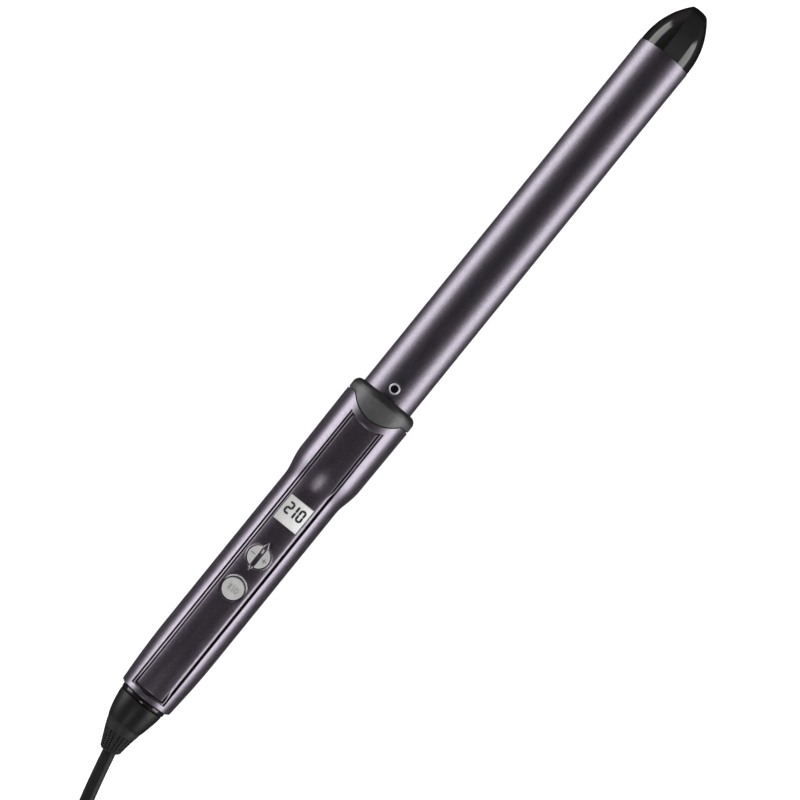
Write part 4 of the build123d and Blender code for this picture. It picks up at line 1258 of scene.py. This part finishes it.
def make_key(name, node, body, side, marks):
    """One half-round key with rounded edges, a flange under the panel and its engraved mark."""
    rounding = 0.32
    flange = [(x, side * max(abs(y), KEY_GAP), z) for x, y, z in key_loop(-FLANGE, FLANGE_LOW, side)]
    rows = [flange, [(x, y, FLANGE_HIGH) for x, y, _ in flange], key_loop(0.0, FLANGE_HIGH, side)]
    for turn in spread(0.0, pi / 2, 4):
        rows.append(key_loop(rounding * (1 - cos(turn)), BUTTON_TOP - rounding * (1 - sin(turn)), side))
    rows.append(key_loop(rounding + 0.12, BUTTON_TOP, side))
    key = store(name, Shape().solid(rows), button_plastic, body, [node])
    cut(key, marks)

    def on_mark(x, y, z):
        return z < BUTTON_TOP - 0.1 and hypot(x - KEYS_X, abs(y) - MARK_Y) < 1.3

    line_with(key, mark_grey, on_mark)


def make_keys():
    """The two half-round keys with an engraved minus and plus."""
    reach, half = 1.15, 0.22
    minus = [bar_cutter(KEYS_X - half, KEYS_X + half, MARK_Y - reach, MARK_Y + reach, MARK_DEPTH)]
    arm = [(half, reach), (-half, reach), (-half, half)]
    plan = []
    for c, s in ((1, 0), (0, 1), (-1, 0), (0, -1)):
        plan += [(KEYS_X + x * c - y * s, x * s + y * c - MARK_Y) for x, y in arm]
    heights = (BUTTON_TOP - MARK_DEPTH, BUTTON_TOP + 1)
    plus = [Shape().solid([[(x, y, height) for x, y in plan] for height in heights])]
    make_key("minus_key_cap", "minus_key", "minus_key", 1, minus)
    make_key("plus_key_cap", "plus_key", "plus_key", -1, plus)


BAR_REAR = -104.5
BAR_FRONT = -90.0


def make_key_bar():
    """The raised bar between the keys, pointed at both ends, with a small lamp hole at its front."""
    outline = [(BAR_REAR, 0.12), (-102.7, 0.72), (-101.9, 0.93), (-100.6, 0.94), (-99.0, 0.95)]
    outline += [(x, 0.95) for x in (-97.35, -96.4, -95.8, -95.3, -94.8, -94.3)]
    outline += [(-93.8, 0.96), (-93.2, 0.98), (-92.5, 1.15), (-91.9, 1.05), (BAR_FRONT, 0.12)]

    def level(inset, drop, side):
        """One edge of the bar's outline at a level below its top, drawn in by inset."""
        points = []
        for x, y in outline:
            near = smooth(min(x - BAR_REAR, BAR_FRONT - x) / 2.6)
            hollow = 0.55 * (1 - max(smooth((x + 95.8) / 2.6), smooth((-99.6 - x) / 4.0)))
            top = lerp(AXIS + crown_height(x, 0) + 0.12, BUTTON_TOP - 0.1 - hollow, near)
            points.append((x, side * max(0.0, y - inset), top - drop))
        return points

    levels = ((0.0, 2.4), (0.0, 0.42), (0.06, 0.22), (0.22, 0.08), (0.5, 0.0))
    rows = [level(inset, drop, 1) + level(inset, drop, -1)[::-1] for inset, drop in levels]
    shape = Shape().grid(rows, close_u=True).grid([level(*levels[-1], side) for side in (1, -1)])
    shape.cap(rows[0][::-1])
    bar = store("key_bar", shape, bar_paint, "iron")
    return cut(bar, [drill(-91.95, 0.34, 28, 32, 24)])


# ---------------------------------------------------------------- swivel ring and strain relief
CORE_RADIUS = 5.3


def make_swivel_ring():
    """The glossy ring that turns between the handle and the boot."""
    profile = [(-175.22, CORE_RADIUS), (-175.22, 10.5), (-175.28, 10.8), (-175.45, 10.96), (-176.8, 10.96)]
    profile += [(-177.02, 10.84), (-177.1, 10.6), (-177.1, CORE_RADIUS)]
    shape = Shape().lathe(profile, 192)
    store("swivel_band", shape, black_gloss, "cord_set", ["swivel_ring"])


BOOT_ROOT = HANDLE_END - 2.5
# distance behind the root, radius, flex to the side, droop, yaw and pitch in degrees
BOOT_STATIONS = [
    (0.0, 10.75, 0.0, 0.0, 0.0, 0.0),
    (2.6, 10.47, 0.0, 0.0, 0.0, 0.0),
    (6.1, 9.85, -0.05, -0.05, 1.5, 1.0),
    (9.5, 9.08, -0.21, -0.15, 3.5, 2.5),
    (12.9, 8.07, -0.54, -0.35, 6.0, 4.5),
    (16.3, 7.06, -0.98, -0.65, 8.5, 6.5),
    (19.8, 5.99, -1.55, -1.1, 10.5, 8.5),
    (23.2, 5.05, -2.15, -1.65, 12.0, 10.5),
    (25.1, 4.5, -2.55, -2.0, 13.0, 11.5),
]


def boot_ring(back, turns, radii):
    """One ring of the boot, square to its flexed axis."""
    _, flex, droop, yaw, pitch = read_curve(BOOT_STATIONS, back)
    heading = Vector((-1, -tan(radians(yaw)), -tan(radians(pitch)))).normalized()
    side = Vector((0, 1, 0))
    side = (side - heading * side.dot(heading)).normalized()
    up = side.cross(heading)
    if up.z < 0:
        up = -up
    centre = Vector((BOOT_ROOT - back, flex, AXIS + droop))
    return [tuple(centre + side * (r * sin(t)) + up * (r * cos(t))) for t, r in zip(turns, radii)]


SLOT_FIRST = 15.9
SLOT_PITCH = 1.02
SLOT_WIDTH = 0.56
SLOT_ROWS = 8
SLOT_DEPTH = 0.9
RIBS = 20
BAND_STEP = 11.9  # where the sleeve starts behind the root
BOOT_END = 24.9


def make_boot():
    """A smooth ogive that runs into a slotted sleeve: rows of slots between ribs along the cord."""
    turns = []
    ribs = []
    sector = 2 * pi / RIBS
    for k in range(RIBS):
        wide = 0.075 if k % (RIBS // 2) else 0.13
        gap = spread(wide + 0.02, sector - wide - 0.02, 4)[1:-1]
        turns += [k * sector + turn for turn in [-wide - 0.02, -wide, 0.0, wide, wide + 0.02] + gap]
        ribs += [0, 1, 1, 1, 0, 0, 0, 0]
    stations = [(0.0, 0.35, 0), (0.1, 0.12, 0)]
    stations += [(back, 0.0, 0) for back in spread(0.3, 11.3, 20)]
    stations += [(BAND_STEP, 0.01, 0), (BAND_STEP + 0.12, 0.1, 0), (BAND_STEP + 0.3, 0.14, 0)]
    stations += [(12.7 + 0.6 * k, (0.12, 0.08, 0.04, 0.0, 0.0, 0.0)[k], 0) for k in range(6)]
    half_slot = ((-0.05, 0.0, 0), (0.0, 0.03, 0), (0.02, 0.1, 1))
    for k in range(SLOT_ROWS):
        start = SLOT_FIRST + k * SLOT_PITCH
        stations += [(start + step, inset, slotted) for step, inset, slotted in half_slot]
        stations += [(start + SLOT_WIDTH - step, inset, slotted) for step, inset, slotted in half_slot[::-1]]
    stations += [(24.15, 0.05, 0), (24.4, 0.2, 0), (24.65, 0.5, 0), (24.8, 0.85, 0), (24.88, 1.2, 0)]
    rows = [boot_ring(0.0, turns, [CORE_RADIUS] * len(turns))]
    for back, inset, slotted in stations:
        radius = read_curve(BOOT_STATIONS, back)[0] - inset
        rows.append(boot_ring(back, turns, [radius - SLOT_DEPTH * (slotted and not rib) for rib in ribs]))
    rows.append(boot_ring(BOOT_END, turns, [3.02] * len(turns)))
    rows.append(boot_ring(BOOT_END - 0.5, turns, [2.9] * len(turns)))
    shape = Shape().solid(rows)
    boot = store("strain_relief", shape, boot_rubber, "cord_set", ["cord_boot"], 30)
    line_with(boot, boot_sleeve, lambda x, y, z: x < BOOT_ROOT - BAND_STEP)

    def in_slot(x, y, z):
        back = BOOT_ROOT - x
        if not SLOT_FIRST - 0.3 < back < BOOT_END - 0.5:
            return False
        radius, flex, droop = read_curve(BOOT_STATIONS, back)[:3]
        return hypot(y - flex, z - AXIS - droop) < radius - 0.4

    # The insides of the slots get painted shade.
    line_with(boot, painted_recess_shade, in_slot)


# ---------------------------------------------------------------- hank tie and plug
TIE_X = -325.0
TIE_HALF = 7.0  # along the hank
TIE_SIDE = 13.75
TIE_TOP = 26.75
TIE_THICK = 1.15


def rounded_loop(half_y, low, high, corner):
    """A rounded rectangle in YZ, as (y, z), anticlockwise from the lower right."""
    left, right = corner - half_y, half_y - corner
    bottom, top = low + corner, high - corner
    points = []
    for y, z, start in ((right, bottom, -90), (right, top, 0), (left, top, 90), (left, bottom, 180)):
        points += [turned(radians(angle), corner, y, z) for angle in spread(start, start + 90, 8)]
    return points


def make_tie():
    """A hook-and-loop band round the hank's waist, with its loose end pressed down over the side."""
    half_edge = [(TIE_HALF, 0.35), (TIE_HALF - 0.25, 0.08), (TIE_HALF - 0.6, 0.0), (3.0, 0.0)]
    edges = [(-x, inset) for x, inset in half_edge] + [(0.0, 0.0)] + half_edge[::-1]
    rows = []
    for dx, inset in edges:
        loop = rounded_loop(TIE_SIDE - inset, inset, TIE_TOP - inset, 3.0)
        rows.append([(TIE_X + dx, y, z) for y, z in loop])
    inner = rounded_loop(TIE_SIDE - TIE_THICK, TIE_THICK, TIE_TOP - TIE_THICK, 1.9)
    rows += [[(TIE_X + dx, y, z) for y, z in inner] for dx, _ in edges[::-1]]
    shape = Shape().grid(rows, close_u=True, close_v=True)
    store("hank_tie", shape, tie_fabric, "cord_set", ["cord_tie"], 50)
    side, top = TIE_SIDE - 0.03, TIE_TOP - 0.03
    corner = rounded_loop(side, 0.0, top, 3.0)[9:18]
    path = [(side, 7.0), (side, 12.0), (side, 18.0)] + corner + [(6.0, top), (2.5, top)]
    last = len(path) - 1
    rows = []
    for index, (y, z) in enumerate(path):
        before, after = path[max(index - 1, 0)], path[min(index + 1, last)]
        ty, tz = after[0] - before[0], after[1] - before[1]
        ny, nz = tz / hypot(ty, tz), -ty / hypot(ty, tz)
        thick = 0.95 if 0 < index < last else 0.5
        half = TIE_HALF - (0.35 if 0 < index < last else 1.95)
        edge = [(half, 0.0), (half, thick * 0.7), (half - 0.3, thick)]
        section = [(-dx, lift) for dx, lift in edge] + [(0, thick + 0.05)] + edge[::-1]
        rows.append([(TIE_X + dx, y + ny * lift, z + nz * lift) for dx, lift in section])
    store("tie_flap", Shape().solid(rows), tie_fabric, "cord_set", (), 50)


PLUG_FACE = -398.0
PLUG_Y = -8.0
PLUG_AXIS = 30.85


def make_plug_body():
    """A flat two-pin plug: rounded body with grip ribs that narrows into a ribbed strain relief."""
    # distance behind the face, half width, half height and squareness
    stations = [
        (0.0, 15.6, 5.5, 3.2), (0.25, 16.3, 6.1, 3.2), (0.8, 16.8, 6.6, 3.2), (1.6, 17.0, 6.8, 3.2),
        (5.0, 17.0, 6.8, 3.2), (9.0, 17.0, 6.8, 3.2), (11.5, 16.6, 6.75, 3.1), (14.0, 15.2, 6.6, 3.0),
        (17.0, 12.9, 6.35, 2.8), (20.0, 10.5, 6.05, 2.6), (23.0, 8.5, 5.75, 2.4), (26.0, 6.9, 5.4, 2.2),
        (28.5, 5.8, 5.05, 2.05), (30.5, 5.2, 4.9, 2.0),
    ]
    fine = []
    for here, there in zip(stations, stations[1:]):
        steps = max(1, round((there[0] - here[0]) / 0.5))
        fine += [tuple(lerp(a, b, k / steps) for a, b in zip(here, there)) for k in range(steps)]
    fine.append(stations[-1])
    rib = ((0.0, 0.0), (0.12, 0.12), (0.22, 0.55), (0.85, 0.55), (0.95, 0.12), (1.07, 0.0), (1.7, 0.0))
    for k in range(8):
        radius = 4.95 - 0.11 * k
        fine += [(31.2 + 2.3 * k + d, radius - inset, radius - inset, 2.0) for d, inset in rib]
    fine += [(d, radius, radius, 2.0) for d, radius in ((49.5, 4.0), (49.85, 3.8), (50.0, 3.4), (50.0, 2.95))]
    rows = []
    for d, wide, tall, power in fine:
        row = []
        for turn in full_turn(96):
            c, s = cos(turn), sin(turn)
            y = copysign(wide * abs(c) ** (2 / power), c)
            z = copysign(tall * abs(s) ** (2 / power), s)
            if 13.0 <= d <= 24.0 and abs(z) > tall * 0.6:
                z -= copysign(0.35 * max(0.0, sin((d - 13.0) * pi / 1.375 * 0.5)) ** 2, z)
            row.append((PLUG_FACE + d, PLUG_Y + y, PLUG_AXIS + z))
        rows.append(row)
    body = store("plug_shell", Shape().solid(rows), plug_rubber, "cord_set", ["plug_body"])
    low, high = (PLUG_FACE - 1, PLUG_Y - 12, PLUG_AXIS - 3), (PLUG_FACE + 8, PLUG_Y + 12, PLUG_AXIS + 3)
    return cut(body, [Shape().box(low, high)])


make_panel()
make_rail()
make_window()
make_digits()
make_power_button()
make_keys()
make_key_bar()
make_swivel_ring()
make_boot()
make_tie()
make_plug_body()

# ---------------------------------------------------------------- carried-over nodes
NODE_MATERIALS = (
    (white_plastic, "barrel_socket", "heater_element", "display_holder", "swivel_housing"),
    (aluminium, "heat_spreader_upper", "heat_spreader_lower"),
    (screw_steel, "spreader_spring", "temperature_sensor", "shell_screws", "board_screws"),
    (lead_silicone, "heater_leads", "sensor_lead", "mains_leads"),
    (display_face, "display_module", "fuse"),
    (board_green, "circuit_board"),
    (sleeve_plastic, "display_contacts", "tact_switches", "microcontroller", "triac", "swivel_core"),
    (sleeve_plastic, "plug_bridge", "plug_sleeves"),
    (film_yellow, "film_capacitor"),
    (brass, "contact_springs", "slip_rings"),
    (pin_nickel, "plug_pins"),
)
for material, *nodes in NODE_MATERIALS:
    for node in nodes:
        for material_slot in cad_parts[node].material_slots:
            material_slot.material = material


# ---------------------------------------------------------------- mains lead
LEAD_POINTS = [
    (-0.2018, -0.00245, 0.0137),
    (-0.2199, -0.00647, 0.01014),
    (-0.2389, -0.01225, 0.0050),
    (-0.2589, -0.01955, 0.0030),
    (-0.2700, -0.0228, 0.0030),
]
TAIL_POINTS = [
    (-0.2960, -0.0228, 0.0278),
    (-0.3110, -0.0168, 0.0296),
    (-0.3280, -0.0085, 0.0308),
    (-0.3400, -0.0080, 0.03085),
    (-0.3520, -0.0080, 0.03085),
]
CORD_RADIUS = 0.003
HANK_MIDDLE = -0.325
HANK_HALF = 0.039
HANK_TOP = 0.027  # where the lead leaves the last turn
STRAND_X = (-0.86, -0.62, -0.36, -0.12, 0.12, 0.36, 0.62, 0.86)
OUTER_TURN = 0.0246
INNER_TURN = 0.0186
WAISTS = {OUTER_TURN: 0.0096, INNER_TURN: 0.0034}
TURNS = [OUTER_TURN, INNER_TURN, INNER_TURN, OUTER_TURN] * 2
TURN_STEPS = 12


def strand(radius, height, side):
    """One run of a turn, drawn in towards the tie at its middle."""
    points = []
    for share in STRAND_X:
        y = lerp(WAISTS[radius], radius, smooth(abs(share)))
        lift = 0.0014 * max(0.0, 1 - abs(share) * 2.2)
        points.append((HANK_MIDDLE + side * share * HANK_HALF, side * y, height + lift))
    return points


def half_turn(side, radii, heights):
    """Half a turn round one end of the hank, from one radius and height to another."""
    points = []
    for share in spread(0, 1, TURN_STEPS):
        radius = lerp(*radii, smooth(share))
        x = HANK_MIDDLE + side * (HANK_HALF + radius * sin(pi * share))
        points.append((x, side * radius * cos(pi * share), lerp(*heights, smooth(share))))
    return points


def cord_points():
    """The whole lead: off the boot, into the hank, eight folded turns, and up to the plug on top of it."""
    radii = TURNS + [OUTER_TURN]
    heights = [CORD_RADIUS * (1 + 2 * (number // 2)) for number in range(len(TURNS))] + [HANK_TOP]
    points = list(LEAD_POINTS)
    for number, radius in enumerate(TURNS):
        height = heights[number]
        points += strand(radius, height, -1) + half_turn(-1, (radius, radius), (height, height))
        points += strand(radius, height, 1) + half_turn(1, radii[number:][:2], heights[number:][:2])
    return points + TAIL_POINTS


def make_cord():
    """The round lead as a smooth curve through its points."""
    data = bpy.data.curves.new("mains_lead", "CURVE")
    data.dimensions = "3D"
    spline = data.splines.new("NURBS")
    points = cord_points()
    spline.points.add(len(points) - 1)
    for point, place in zip(spline.points, points):
        point.co = (*place, 1.0)
    spline.order_u = 3
    spline.use_endpoint_u = True
    spline.resolution_u = 6
    data.bevel_depth = CORD_RADIUS
    data.bevel_resolution = 7
    data.use_fill_caps = True
    data.materials.append(cord_rubber)
    cord = add_object("mains_lead", data)
    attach(cord, "cord_set")
    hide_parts("cord_lead", "cord_hank", "cord_tail")
    return cord


lead = make_cord()
